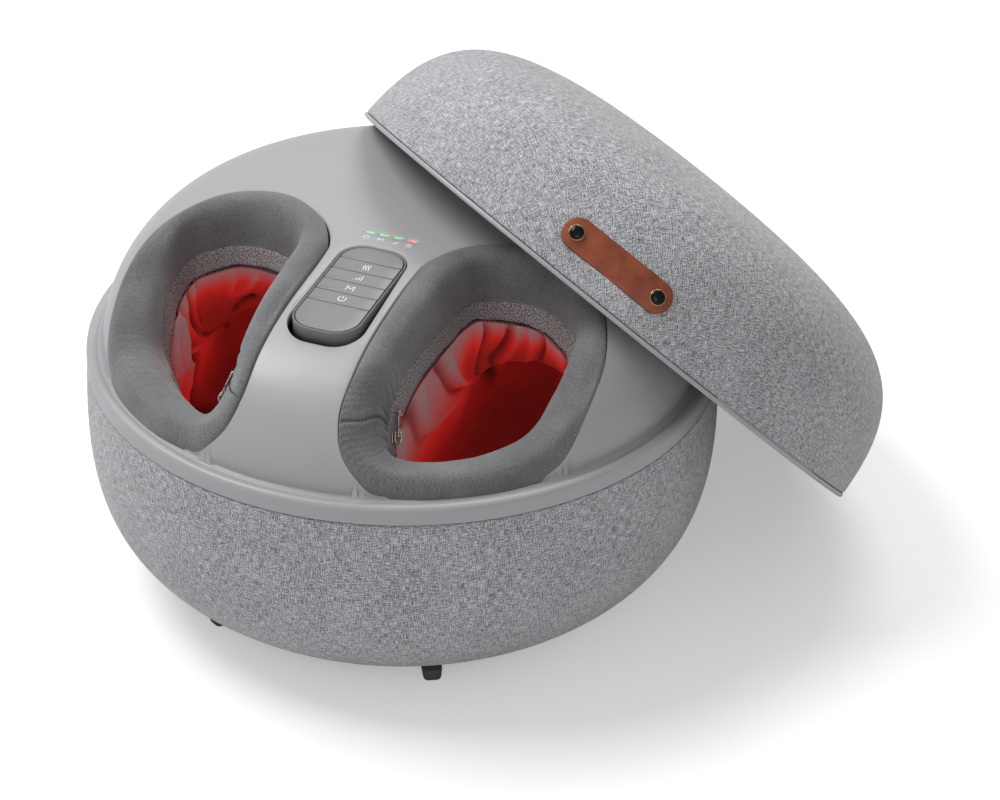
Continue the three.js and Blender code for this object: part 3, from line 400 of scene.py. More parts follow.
def satin_abs(name, text, grain=0.35, roughness=0.4):
    """Injection-moulded ABS from a fine spark-eroded mould: satin, with a faint even grain and a
    little unevenness in its shine."""
    finish, tree, shader = new_finish(name, Base_Color=linear(text), IOR=1.5)
    place = add(tree, "TexCoord").outputs["Object"]
    haze = add(tree, "TexNoise", {"Vector": place, "Scale": 1 / (40 * mm), "Detail": 3})
    shine = add(tree, "MapRange", {0: haze.outputs[0], 1: 0.3, 2: 0.7, 3: roughness - 0.05,
                                   4: roughness + 0.06})
    tree.links.new(shine.outputs[0], shader.inputs["Roughness"])
    spark = add(tree, "TexNoise", {"Vector": place, "Scale": 1 / (grain * mm), "Detail": 1})
    bump = add(tree, "Bump", {"Height": spark.outputs[0], "Strength": 0.12, "Distance": 0.1 * mm})
    tree.links.new(bump.outputs[0], shader.inputs["Normal"])
    return finish


def top_shell_mesh(finish):
    """The dome as a plan cut into triangles between its outline and its openings, then lifted,
    with rolled edges, the lip, and the same plan again one wall lower."""
    turn = angles(round_steps)
    rim = plan_radius * np.stack([np.sin(turn), -np.cos(turn)], 1)
    mouth = well_line([0, 1], even_shares(520))
    reach = np.hypot(*mouth.T)
    steep = (dome_height(*(mouth * 0.99).T) - dome_height(*mouth.T)) / (0.01 * reach)
    snug = 1 / (1 + np.maximum(steep, 0))
    mouth = mouth + outwards(mouth) * (pad_gap * snug)[:, None]
    room = np.clip(np.minimum((plan_radius - 0.25 - reach) * 0.85, shell_edge * snug), 0.15, shell_edge)
    flipped = mouth[::-1] * [-1, 1]
    panel = round_box(panel_width, panel_length, panel_corner)
    front = np.clip((10 - panel[:, 1]) / 55, 0, 1)
    moat = 0.5 + 2.6 * front**2 * (3 - 2 * front)
    panel = panel + outwards(panel) * moat[:, None] + panel_middle[:2]
    edges = [rolled_edge(mouth, room, 7), rolled_edge(flipped, room[::-1], 7),
             rolled_edge(panel, np.full(len(panel), 1.4), 12)]
    for k in range(4):
        middle = [(k - 1.5) * light_pitch, light_row]
        slot = round_box(light_length + 0.5, light_width + 0.5, 0.8, 3) + middle
        edges.append(rolled_edge(slot, np.full(len(slot), 0.12), 3, 2))
    loops = [edge[0][:, :2] for edge in edges]
    fine = np.linspace(0, 1, 2000) * dome_radius
    along = runs(np.stack([fine, dome_height(fine, 0 * fine)], 1))
    foot_band = along[-1] - 35
    steps = [np.arange(grid_step, foot_band - 1, grid_step), np.arange(foot_band, along[-1] - 1, 1.6)]
    radii = np.append(np.interp(np.concatenate(steps), along, fine), dome_radius)
    inner = [np.zeros((1, 2))]
    for radius in radii:
        near_foot = np.interp(radius, fine, along) > foot_band - 0.5
        spots = round_steps if near_foot else max(8, int(2 * np.pi * radius / grid_step))
        turns = angles(spots) + (0 if near_foot else radius)
        inner.append(radius * np.stack([np.sin(turns), -np.cos(turns)], 1))
    inner = np.concatenate(inner)
    for loop in loops:
        gap = np.linalg.norm(inner[:, None] - loop[None], axis=2).min(1)
        least = np.where(np.hypot(*inner.T) > dome_radius - 14, 0.45, 1.6)
        inner = inner[~inside(inner, loop) & (gap > least)]
    plan = np.concatenate([rim, *loops, inner])
    sides, first = [], 0
    for loop in [rim, *loops]:
        sides += [(first + k, first + (k + 1) % len(loop)) for k in range(len(loop))]
        first += len(loop)
    flat, _, faces, *_ = delaunay_2d_cdt(plan.tolist(), sides, [], 0, 1e-7)
    flat = np.array([tuple(p) for p in flat])
    faces = np.array([f for f in faces if len(f) == 3])
    middles = flat[faces].mean(1)
    kept = np.hypot(*middles.T) < plan_radius
    for loop in loops:
        kept &= ~inside(middles, loop)
    faces = faces[kept]
    top = np.column_stack([flat, dome_height(*flat.T)])
    points = [top, top - [0, 0, shell_wall]]
    all_faces = faces.tolist() + (faces[:, ::-1] + len(flat)).tolist()
    used = 2 * len(flat)

    def strip(rings):
        nonlocal used
        _, quads = grid_quads(len(rings), len(rings[0]))
        all_faces.extend((quads + used).tolist())
        points.append(np.concatenate(rings))
        used += len(rings) * len(rings[0])

    for edge in edges:
        strip(edge + [np.column_stack([edge[0][:, :2], edge[0][:, 2] - shell_wall])])
    lip = spline(lip_places, np.linspace(0, 1, 40), False)
    low = lip[-1, 1]
    lip = np.vstack([lip, [plan_radius + 3, low], [plan_radius, low], [plan_radius, dome_foot - shell_wall]])
    strip([np.column_stack([rim * out / plan_radius, np.full(len(rim), up)]) for out, up in lip])
    return tidy_mesh(new_piece("top_shell_moulding", np.concatenate(points), all_faces, finish))


shell_abs = satin_abs("satin_abs_light_grey", satin_grey)
top_shell = top_shell_mesh(shell_abs)
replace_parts(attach(top_shell, "base"), "top_shell")

# Well pads: polyurethane foam in knitted polyester, one ring round each foot well. A cross
# seam near the heel closes the ring, and the cloth is gathered a little beside it.
pad_stations, pad_steps = 820, 72
throat_low, throat_high = 3.0, 31.0
crown_low, crown_high, crown_share = 13.0, 5.0, 0.5
pad_skirt = 10.0
shoulder_drop = 12.0
pad_out_shares = np.array([0.05, 0, 0.14, 0.4, 0.72, 0.93, 1, 1, 0.7])
seam_share, seam_bow_share = 0.845, 0.02
seam_depth, seam_width = 0.9, 0.9
seam_lip, lip_reach, lip_width = 0.5, 3.2, 1.8
gather_depth, gather_pitch, gather_reach = 0.34, 4.3, 26.0
pull_depth, pull_pitch = 0.2, 2.6
corner_depth, corner_pitch = 1.1, 11.0
foam_wave, foam_ripple = 0.55, 0.35
stitch_length, stitch_pitch, thread_radius = 0.6, 2.2, 0.22
knit_pitch = 1.1
pad_dark, pad_mid, pad_light = "505153", "6D6E70", "88898B"


def well_stations(shares):
    """Mouth and throat of the right well at shares of the way round, the throat's inward
    direction, and how high up the dome each mouth point lies, from 0 to 1."""
    mouth, throat = well_line([0, 1], shares), well_line([2, 3], shares)
    along = unit(well_line([2, 3], shares + 1e-4) - well_line([2, 3], shares - 1e-4))
    inward = np.stack([along[:, 1], -along[:, 0]], 1)
    top = dome_height(*mouth.T)
    high = (top - dome_foot) / dome_rise
    low = top - (throat_low + (throat_high - throat_low) * high)
    return np.column_stack([mouth, top]), np.column_stack([throat, low]), inward, high


def pad_surface(shares, places):
    """Points over the pad: each section is a smooth closed loop through nine points, whose plan
    places are shares of the way from mouth to throat. Its crown follows the dome's height
    averaged to both sides, as foam can't turn a sharp corner."""
    mouth, throat, _, _ = well_stations(shares)
    edge, low = mouth[:, 2], throat[:, 2]
    beside = [dome_height(*well_line([0, 1], shares + step).T) for step in np.linspace(-0.045, 0.045, 9)]
    soft = np.mean(beside, 0)
    rise = np.clip((soft - dome_foot) / dome_rise / crown_share, 0, 1)
    crown = np.maximum(soft + crown_low + (crown_high - crown_low) * rise, edge + 2)
    heights = np.stack([
        edge - pad_skirt, edge + 0.5, crown - 1.2, crown, crown - shoulder_drop / 4,
        crown - shoulder_drop, low + shoulder_drop / 4, low, np.minimum(low, edge - pad_skirt),
    ])
    plan = mouth[:, :2] + (throat - mouth)[:, :2] * pad_out_shares[:, None, None]
    return spline(np.concatenate([plan, heights[..., None]], 2), places)


def wrapped(distance, whole):
    """Distance the short way round a loop, with its sign."""
    return (distance + whole / 2) % whole - whole / 2


def bell(value, width):
    """1 at zero, falling off as a bell curve of the given width."""
    return np.exp(-(value / width) ** 2)


def knitted_polyester():
    """Knitted polyester: soft, dull, with a faint bloom of fibres. Loops are 0.6 mm; drawn 1.1 mm."""
    finish, tree, shader = new_finish("knitted_polyester_grey", Roughness=0.9, Sheen_Weight=0.35)
    cloth = add(tree, "UVMap", uv_map="weave").outputs["UV"]
    place = add(tree, "TexCoord").outputs["Object"]
    loops = add(tree, "VectorMath", {0: cloth, "Scale": 2 * math.pi / (knit_pitch * mm)}, operation="SCALE")
    split = add(tree, "SeparateXYZ", {0: loops.outputs[0]})
    lean = add(tree, "Math", {0: split.outputs[1]}, operation="SINE")
    slant = add(tree, "Math", {0: lean.outputs[0], 1: 1.1, 2: split.outputs[0]}, operation="MULTIPLY_ADD")
    wale = add(tree, "Math", {0: slant.outputs[0]}, operation="SINE")
    fuzz = add(tree, "TexNoise", {"Vector": place, "Scale": 1 / (0.8 * mm), "Detail": 2, "Roughness": 0.7})
    clouds = add(tree, "TexNoise", {"Vector": place, "Scale": 1 / (24 * mm), "Detail": 2})
    speck = add(tree, "Math", {0: clouds.outputs[0], 1: 0.35, 2: fuzz.outputs[0]}, operation="MULTIPLY_ADD")
    tone = add(tree, "Math", {0: wale.outputs[0], 1: 0.05, 2: speck.outputs[0]}, operation="MULTIPLY_ADD")
    mix = add(tree, "ValToRGB", {"Fac": tone.outputs[0]},
              stops=[(0.42, pad_dark), (0.68, pad_mid), (0.94, pad_light)])
    tree.links.new(mix.outputs[0], shader.inputs["Base Color"])
    height = add(tree, "Math", {0: wale.outputs[0], 1: 0.25, 2: fuzz.outputs[0]}, operation="MULTIPLY_ADD")
    bump = add(tree, "Bump", {"Height": height.outputs[0], "Strength": 0.32, "Distance": 0.4 * mm})
    tree.links.new(bump.outputs[0], shader.inputs["Normal"])
    return finish


def grid_normals(points):
    """Directions square to a grid that is closed both ways."""
    along = np.roll(points, -1, 1) - np.roll(points, 1, 1)
    across = np.roll(points, -1, 0) - np.roll(points, 1, 0)
    return unit(np.cross(along, across))


def seam_line(places):
    """Shares where the cross seam runs: bowed forwards over the crown, so that it looks straight."""
    return seam_share - seam_bow_share * bell(places - 0.36, 0.16)


def pad_points(wobble):
    """The pad's surface, moved along its own normals: a sewn groove across the ring, ridges of
    gathered cloth beside it and at the front corners, and slow unevenness in the foam."""
    shares = even_shares(pad_stations)
    places = np.linspace(0, 1, pad_steps, endpoint=False)
    points = pad_surface(shares, places)
    normal = grid_normals(points)
    if normal[pad_steps // 3, 0, 2] < 0:
        normal = -normal
    length = runs(np.vstack([points[16], points[16][:1]]))
    seam_run = np.interp(seam_line(places), np.append(shares, 1), length)
    from_seam = wrapped(length[:-1][None] - seam_run[:, None], length[-1])
    place = places[:, None]
    seen = np.clip((place - 0.09) / 0.06, 0, 1) * np.clip((0.76 - place) / 0.06, 0, 1)
    outer = bell(place - 0.17, 0.09)
    inner = bell(place - 0.62, 0.1)
    groove = -seam_depth * bell(from_seam, seam_width)
    groove = groove + seam_lip * bell(np.abs(from_seam) - lip_reach, lip_width)
    gathers = gather_depth * np.sin(2 * np.pi * from_seam / gather_pitch)
    gathers = gathers * np.exp(-np.abs(from_seam) / gather_reach)
    front = bell(from_seam + 78, 52) * outer
    bent = 1.2 * np.sin(from_seam / 17)
    pulls = pull_depth * np.sin(2 * np.pi * from_seam / pull_pitch + bent + 4 * place) * front
    corner = bell(from_seam + 4, 34) * inner
    folds = corner_depth * np.sin(2 * np.pi * from_seam / corner_pitch + wobble) * corner
    slow = foam_wave * np.sin(3 * 2 * np.pi * shares + wobble)[None] * np.sin(2 * np.pi * place * 2 + wobble)
    ripple = foam_ripple * np.sin(7 * 2 * np.pi * shares + 2 * wobble)[None]
    slow = slow + ripple * np.sin(2 * np.pi * place * 3)
    moved = seen * (groove + gathers * (0.35 + outer + 0.5 * inner) + pulls + folds + slow)
    across = runs(np.vstack([points.mean(1), points.mean(1)[:1]]))
    uv = np.stack(np.meshgrid(length, across), -1)
    return points + normal * moved[..., None], uv


def threads(name, lines, radius, finish, upright=(0, 0, 1), sides=6):
    """Round threads along lines of points, closed to a point at both ends."""
    points, faces, used = [], [], 0
    turn = angles(sides)[None, :, None]
    for line in lines:
        along = unit(np.gradient(line, axis=0))
        side = unit(np.cross(along, upright))
        up = np.cross(side, along)
        ring = line[:, None] + radius * (side[:, None] * np.cos(turn) + up[:, None] * np.sin(turn))
        first, last = line[0] - along[0] * radius, line[-1] + along[-1] * radius
        rings = np.concatenate([np.tile(first, (1, sides, 1)), ring, np.tile(last, (1, sides, 1))])
        faces.extend((grid_quads(len(rings), sides)[1] + used).tolist())
        points.append(rings.reshape(-1, 3))
        used += len(rings) * sides
    return tidy_mesh(new_piece(name, np.concatenate(points), faces, finish))


def pad_stitches():
    """Short threads that cross the pad's seam groove at an even pitch, one beside the other."""
    places = np.linspace(0.13, 0.7, 400)
    step = np.arange(len(places))
    line = pad_surface(seam_line(places), places)[step, step]
    ahead = unit(pad_surface(seam_line(places) + 0.002, places)[step, step] - line)
    out = np.cross(ahead, unit(np.gradient(line, axis=0)))
    out *= np.sign(out[len(out) // 3, 2])
    run = runs(line)
    across = np.linspace(-1, 1, 7)[:, None]
    sink = 0.55 - 0.9 * np.abs(across) ** 3 - 0.5 * (1 - np.abs(across))
    spots = np.searchsorted(run, np.arange(2, run[-1] - 2, stitch_pitch))
    return [line[at] + ahead[at] * across * stitch_length + out[at] * sink for at in spots]


knit = knitted_polyester()
thread, thread_tree, thread_shader = new_finish("polyester_sewing_thread", Base_Color=linear("3E3F42"),
                                                Roughness=0.6)
twist = add(thread_tree, "TexNoise", {"Vector": add(thread_tree, "TexCoord").outputs["Object"],
                                      "Scale": 1 / (0.3 * mm)})
thread_bump = add(thread_tree, "Bump", {"Height": twist.outputs[0], "Strength": 0.3, "Distance": 0.1 * mm})
thread_tree.links.new(thread_bump.outputs[0], thread_shader.inputs["Normal"])
flips = {"right": np.array([1, 1, 1]), "left": np.array([-1, 1, 1])}
for (side, flip), wobble in zip(flips.items(), (0.6, 2.1)):
    points, uv = pad_points(wobble)
    pad = surface(f"{side}_pad_cloth", points * flip, knit, True, True, uv)
    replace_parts(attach(pad, "base"), f"{side}_well_pad")
    lines = [line * flip for line in pad_stitches()]
    stitches = threads(f"{side}_pad_stitches", lines, thread_radius, thread)
    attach(stitches, "base")


# Zip tapes: woven polyester tape, heathered, sewn under each pad's inner edge and leaning into
# the well. A spiral nylon coil is sewn along its lower edge and joins the liner to it.
tape_width, tape_thickness, tape_lean = 12.0, 1.4, 4.0
tape_stations = 360
coil_radius, coil_wire, coil_pitch = 1.25, 0.42, 1.9
coil_steps = 8
# Tape greys, cast faintly pink by painted red light from the well lamps
tape_dark, tape_mid, tape_light = "3C3839", "7F7778", "B7AEAF"


def throat_place(shares, inset, drop):
    """A point under the throat's edge, moved towards the well's middle by inset and down by drop."""
    _, throat, inward, _ = well_stations(shares)
    level = inward * np.reshape(inset, (-1, 1))
    return throat + np.column_stack([level, -np.broadcast_to(drop, len(shares))])


def hem_share(shares):
    """How much of the tape's width shows: eased in and out unevenly as it was sewn."""
    turn = 2 * np.pi * shares
    tucked = 0.3 * bell((shares - 0.02 + 0.5) % 1 - 0.5, 0.06)
    return 0.88 + 0.07 * np.cos(3 * turn + 0.9) + 0.05 * np.sin(7 * turn) - tucked


def heathered_tape():
    """Zip tape, woven in a fine herringbone from two greys and a paler yarn, all with a faint pink
    cast that is painted red light from the well lamps; threads drawn 1 mm.
    """
    finish, tree, shader = new_finish("woven_polyester_zip_tape", Roughness=0.88, Sheen_Weight=0.25)
    cloth = add(tree, "UVMap", uv_map="weave").outputs["UV"]
    long = add(tree, "Mapping", {"Vector": cloth, "Scale": (1 / (1.3 * mm), 1 / (0.7 * mm), 1)})
    yarn = add(tree, "TexNoise", {"Vector": long.outputs[0], "Scale": 1, "Detail": 2, "Roughness": 0.6})
    mix = add(tree, "ValToRGB", {"Fac": yarn.outputs[0]},
              stops=[(0.38, tape_dark), (0.5, tape_mid), (0.62, tape_light)])
    tree.links.new(mix.outputs[0], shader.inputs["Base Color"])
    ribs = add(tree, "VectorMath", {0: cloth, "Scale": 2 * math.pi / (1.0 * mm)}, operation="SCALE")
    split = add(tree, "SeparateXYZ", {0: ribs.outputs[0]})
    zigzag = add(tree, "Math", {0: split.outputs[0]}, operation="SINE")
    slant = add(tree, "Math", {0: zigzag.outputs[0], 1: 0.8, 2: split.outputs[1]}, operation="MULTIPLY_ADD")
    rib = add(tree, "Math", {0: slant.outputs[0]}, operation="SINE")
    height = add(tree, "Math", {0: rib.outputs[0], 1: 0.25, 2: yarn.outputs[0]}, operation="MULTIPLY_ADD")
    bump = add(tree, "Bump", {"Height": height.outputs[0], "Strength": 0.5, "Distance": 0.4 * mm})
    tree.links.new(bump.outputs[0], shader.inputs["Normal"])
    return finish


def tape_points(shares, wobble):
    """A strip 12 mm wide with round edges, whose lower edge waves a little where it is eased in."""
    drops = np.linspace(-1.2, tape_width, 14)
    lean = tape_lean * drops / tape_width
    half = tape_thickness / 2 * np.sqrt(1 - np.clip(np.abs(np.linspace(-1, 1, 14)), 0, 0.97) ** 8)
    sides = np.concatenate([lean + tape_thickness / 2 - half, (lean + tape_thickness / 2 + half)[::-1]])
    depths = np.concatenate([drops, drops[::-1]])
    turn = 2 * np.pi * shares
    wave = 0.6 * np.sin(9 * turn + wobble) + 0.45 * np.sin(17 * turn + 2 * wobble)
    rows = [throat_place(shares, inset + np.maximum(wave, -0.4) * (drop / tape_width) ** 2 * 0.8,
                         drop * hem_share(shares)) for inset, drop in zip(sides, depths)]
    return np.stack(rows), depths


def coil_line(shares):
    """A helix of round wire along the tape's lower edge, one turn for each pitch of its length."""
    drop = tape_width * hem_share(shares) + coil_radius * 0.9
    middle = throat_place(shares, tape_lean + tape_thickness / 2, drop)
    end = runs(middle)[-1]
    turns = round(end / coil_pitch)
    share = np.linspace(0, 1, turns * coil_steps + 1)
    line = sampled(middle, share * end)
    along = unit(np.gradient(line, axis=0))
    side = unit(np.cross(along, [0, 0, 1]))
    angle = (2 * np.pi * turns * share)[:, None]
    return line + coil_radius * (side * np.cos(angle) * 0.8 + np.cross(side, along) * np.sin(angle)), along


tape_cloth = heathered_tape()
nylon, nylon_tree, nylon_shader = new_finish("nylon_zip_coil", Base_Color=linear("37363A"), Roughness=0.38)
nylon_place = add(nylon_tree, "TexCoord").outputs["Object"]
nylon_haze = add(nylon_tree, "TexNoise", {"Vector": nylon_place, "Scale": 1 / (3 * mm)})
nylon_shine = add(nylon_tree, "MapRange", {0: nylon_haze.outputs[0], 1: 0.3, 2: 0.7, 3: 0.3, 4: 0.5})
nylon_tree.links.new(nylon_shine.outputs[0], nylon_shader.inputs["Roughness"])
ring_shares = np.linspace(0, 1, tape_stations + 1)
for (side, flip), wobble in zip(flips.items(), (0.4, 1.7)):
    points, depths = tape_points(ring_shares[:-1], wobble)
    run = runs(throat_place(ring_shares, 0, 0))
    uv = np.stack(np.meshgrid(run, np.append(depths, depths[0])), -1)
    tape = surface(f"{side}_tape_cloth", points * flip, tape_cloth, True, True, uv)
    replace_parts(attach(tape, "base"), f"{side}_zip_tape")
    line, upright = coil_line(ring_shares)
    coil = threads(f"{side}_zip_coil", [line * flip], coil_wire, nylon, upright * flip, 5)
    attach(coil, "base")


# Foot liners: washable bags of brushed polyester jersey, gathered on to the zip and hanging in
# pleats to a flat sole over the kneading heads. The red light of the lamps beside them is painted
# into the cloth's colour and emission.
liner_thickness = 1.2
liner_stations, liner_steps = 300, 96
liner_half_width, liner_half_length = 54.0, 140.0
liner_middle = np.array([93.0, -30.0])
liner_corner = 0.8
girth_height, sole_height, sole_round, sole_inset = 120.0, 86.0, 12.0, 7.0
neck_shares = [(0.08, 0.3), (0.36, 0.66)]
ripple_depth, sole_bump = 0.8, 1.6
# Painted light on the liners: ramp colours from painted shade at the deep end through the lamps' red glow to the
# greyish pink of room light, and the weights of its parts
glow_stops = [(0.0, "200505"), (0.2, "5C0F0C"), (0.4, "8A1512"), (0.58, "BA221E"), (0.74, "A94442"),
              (1.0, "86686A")]
glow_base, glow_depth, glow_reach, glow_hem, glow_relief = 0.17, 0.24, 0.24, 0.3, 0.16


def girth_place(shares, inset, height):
    """The bag's outline: a soft-cornered oval, reached from its middle at the throat's own angle."""
    around = well_line([2, 3], np.linspace(0, 1, 400))
    low, high = around.min(0), around.max(0)
    throat = (well_line([2, 3], shares) - (low + high) / 2) / ((high - low) / 2)
    turn = np.arctan2(throat[:, 1], throat[:, 0])
    way = np.stack([np.cos(turn), np.sin(turn)], 1)
    half = np.array([liner_half_width, liner_half_length]) - inset
    plan = liner_middle + half * np.sign(way) * np.abs(way) ** liner_corner
    return np.column_stack([plan, np.full(len(shares), height)])


# Each fold: how far it stands in, or out where it is a crease, and its half width, in mm, and its
# line, as shares round the hem and down the bag
hidden_fold_shares = [(3.5, 5, [(k, 0), (k + 0.01, 0.35)]) for k in (0.42, 0.5, 0.58, 0.66, 0.74, 0.81)]
right_fold_shares = hidden_fold_shares + [
    (-6, 4.5, [(0.95, 0), (0.98, 0.09), (0.995, 0.2), (1.03, 0.35)]),
    (4.5, 4, [(0.985, 0.03), (1.0, 0.11), (1.02, 0.22), (1.05, 0.33)]),
    (-5, 2.6, [(0.11, 0), (0.105, 0.06), (0.06, 0.16), (0.02, 0.32)]),
    (3.5, 3, [(0.095, 0), (0.085, 0.07), (0.04, 0.2)]),
    (-5, 2.6, [(0.152, 0), (0.145, 0.06), (0.09, 0.2), (0.06, 0.33)]),
    (4, 3, [(0.168, 0), (0.16, 0.06), (0.1, 0.22), (0.08, 0.33)]),
    (-3.5, 2.2, [(0.21, 0), (0.208, 0.06), (0.16, 0.2), (0.12, 0.31)]),
    (3, 3, [(0.192, 0), (0.188, 0.08), (0.14, 0.22)]),
    (-3, 2, [(0.265, 0), (0.27, 0.06), (0.23, 0.2), (0.18, 0.38)]),
    (5, 3.2, [(0.31, 0), (0.27, 0.15), (0.19, 0.36), (0.165, 0.48), (0.15, 0.64)]),
    (-3.5, 2.4, [(0.33, 0), (0.29, 0.15), (0.2, 0.38), (0.177, 0.5), (0.17, 0.64)]),
    (4, 2.4, [(0.345, 0), (0.31, 0.15), (0.215, 0.38), (0.19, 0.5)]),
    (4, 5, [(0.895, 0.05), (0.905, 0.13), (0.937, 0.32), (0.963, 0.45), (0.967, 0.61)]),
    (-6, 7, [(0.83, 0), (0.88, 0.12), (0.92, 0.3)]),
]
left_fold_shares = [fold for fold in hidden_fold_shares if fold[2][0][0] > 0.53] + [
    (3.5, 5, [(0.9, 0), (0.91, 0.35)]),
    (3.5, 5, [(0.98, 0), (0.99, 0.35)]),
    (3.5, 4.5, [(0.06, 0), (0.07, 0.35)]),
    (3.5, 4, [(0.12, 0), (0.13, 0.3)]),
    (-6, 4, [(0.35, 0), (0.363, 0.08), (0.39, 0.2)]),
    (4, 2.6, [(0.337, 0), (0.343, 0.05), (0.352, 0.11), (0.375, 0.24)]),
    (-4, 2.4, [(0.32, 0), (0.323, 0.05), (0.34, 0.15), (0.37, 0.28)]),
    (3.5, 2.2, [(0.305, 0), (0.31, 0.06), (0.335, 0.15), (0.395, 0.26)]),
    (-2.5, 1.6, [(0.295, 0), (0.303, 0.035), (0.325, 0.15)]),
    (4, 2.8, [(0.18, 0.04), (0.207, 0.084), (0.235, 0.105), (0.223, 0.03)]),
    (-4, 3, [(0.2, 0.12), (0.23, 0.15), (0.26, 0.18)]),
    (7, 3.4, [(0.378, 0), (0.385, 0.1), (0.427, 0.19), (0.46, 0.31), (0.463, 0.36), (0.453, 0.44),
              (0.45, 0.58)]),
    (-5, 3.2, [(0.41, 0.19), (0.445, 0.3), (0.447, 0.37), (0.437, 0.46)]),
    (3.5, 2.4, [(0.393, 0.02), (0.423, 0.126), (0.483, 0.316), (0.49, 0.34)]),
    (-3.5, 2.6, [(0.41, 0.04), (0.45, 0.13), (0.487, 0.232)]),
    (5, 3, [(0.51, 0.25), (0.497, 0.337), (0.47, 0.38), (0.457, 0.453), (0.457, 0.6)]),
    (-4, 3, [(0.505, 0.34), (0.485, 0.4), (0.472, 0.47), (0.47, 0.6)]),
]


def fold_near(here, down_run, whole, line, width):
    """How near each point lies to a fold's line: 1 on it, off as a bell curve square to it, and
    slowly less along it."""
    nearest = np.zeros(down_run.shape)
    count = len(line) - 1
    for k in range(count):
        step = line[k + 1] - line[k]
        across, down = wrapped(here - line[k, 0], whole), down_run - line[k, 1]
        along = np.clip((across * step[0] + down * step[1]) / (step @ step), 0, 1)
        away = np.hypot(across - along * step[0], down - along * step[1])
        nearest = np.maximum(nearest, bell(away, width) * (1 - 0.5 * (k + along) / count))
    return nearest


def liner_points(shares, thickness, wobble, folds):
    """The bag: smooth lines from the hem out to the girth and down to the sole, moved inwards by
    pleats, each a rounded ridge that leans and fades out on its way down."""
    hem = throat_place(shares, tape_lean + thickness, tape_width * hem_share(shares) + 1.6)
    girth = girth_place(shares, thickness, girth_height)
    rings = [hem]
    for out, down in neck_shares:
        rings.append(hem + (girth - hem) * [out, out, down])
    rings.append(girth)
    rings.append(girth_place(shares, thickness, sole_height + sole_round))
    rings.append(girth_place(shares, thickness + 1.5, sole_height + sole_round / 3))
    rings.append(girth_place(shares, sole_inset + thickness, sole_height + thickness))
    flat = rings[-1]
    centre = np.append(liner_middle, sole_height + thickness)
    rings += [centre + (flat - centre) * share for share in (0.75, 0.5, 0.25, 0.0)]
    places = np.linspace(0, 1, liner_steps)
    points = spline(np.stack(rings), places, False)
    down = places / places[-1]
    run = runs(throat_place(np.append(shares, shares[0] + 1), 0, 0))
    whole = run[-1]
    here = run[:-1][None]
    lean = down[:, None]
    moved, relief = np.zeros(points.shape[:2]), np.zeros(points.shape[:2])
    down_run = np.linalg.norm(np.diff(points, axis=0, prepend=points[:1]), axis=2).cumsum(0)
    for depth, width, places in folds:
        places = spline(places, np.linspace(0, 1, 3 * len(places)), False)
        row = (np.clip(places[:, 1], 0, 1) * (liner_steps - 1)).astype(int)
        column = (places[:, 0] * len(shares)).astype(int) % len(shares)
        line = np.stack([places[:, 0] * whole, down_run[row, column]], 1)
        near = fold_near(here, down_run, whole, line, width) * np.clip(0.3 + lean / 0.05, 0, 1)
        moved += depth * near
        relief += np.sign(depth) * near
    inward = unit((np.append(liner_middle, 0) - points) * [1, 1, 0], 1e-6)
    turn = 2 * np.pi * shares[None]
    ripples = ripple_depth * np.sin(11 * turn + 14 * lean + wobble)
    moved += ripples * np.clip(lean * 4, 0, 1) * np.clip((0.6 - lean) * 5, 0, 1)
    points = points + inward * moved[..., None]
    sole = np.clip((lean - 0.62) / 0.1, 0, 1)
    bumps = sole_bump * np.sin(points[..., 1] / 13 + wobble) * np.sin(points[..., 0] / 11)
    points[..., 2] = np.maximum(points[..., 2] + sole * bumps, sole_height + thickness)
    return points, np.clip(relief, -1, 1), lean


def lit_jersey():
    """Brushed jersey, dull and soft, with light painted into its colour, its emission and its reddish
    sheen: the red glow of the lamp behind it below the hem, painted highlights on ridges, painted
    shade in creases and at the deep end, and a greyish pink of painted room light. Loops are 0.5 mm;
    drawn 1.2 mm."""
    finish, tree, shader = new_finish("brushed_polyester_jersey_painted_glow", Roughness=0.9, Sheen_Weight=0.25)
    shader.inputs["Sheen Tint"].default_value = linear("E8807A")
    place = add(tree, "TexCoord").outputs["Object"]
    # The painted glow and the painted shade of creases are marks on the mesh; clouds mottle the glow a little,
    # and the same colour is also emitted
    lit = add(tree, "Attribute", attribute_name="painted_glow_and_edge_burnish")
    clouds = add(tree, "TexNoise", {"Vector": place, "Scale": 1 / (12 * mm), "Detail": 3})
    uneven = add(tree, "Math", {0: clouds.outputs[0], 1: 0.1, 2: lit.outputs["Fac"]},
                 operation="MULTIPLY_ADD")
    shade = add(tree, "Math", {0: uneven.outputs[0], 1: 0.05}, operation="SUBTRACT")
    mix = add(tree, "ValToRGB", {"Fac": shade.outputs[0]}, stops=glow_stops)
    painted_crease_shade = add(tree, "Attribute", attribute_name="painted_crease_shade")
    crease_shade_scale = add(tree, "Math", {0: painted_crease_shade.outputs["Fac"], 1: -0.82, 2: 1.0}, operation="MULTIPLY_ADD")
    cloth = add(tree, "VectorMath", {0: mix.outputs[0], "Scale": crease_shade_scale.outputs[0]}, operation="SCALE")
    tree.links.new(cloth.outputs[0], shader.inputs["Base Color"])
    tree.links.new(cloth.outputs[0], shader.inputs["Emission Color"])
    shader.inputs["Emission Strength"].default_value = 0.52
    loops = add(tree, "TexNoise", {"Vector": place, "Scale": 1 / (1.2 * mm), "Detail": 2})
    bump = add(tree, "Bump", {"Height": loops.outputs[0], "Strength": 0.4, "Distance": 0.4 * mm})
    tree.links.new(bump.outputs[0], shader.inputs["Normal"])
    return finish


jersey = lit_jersey()
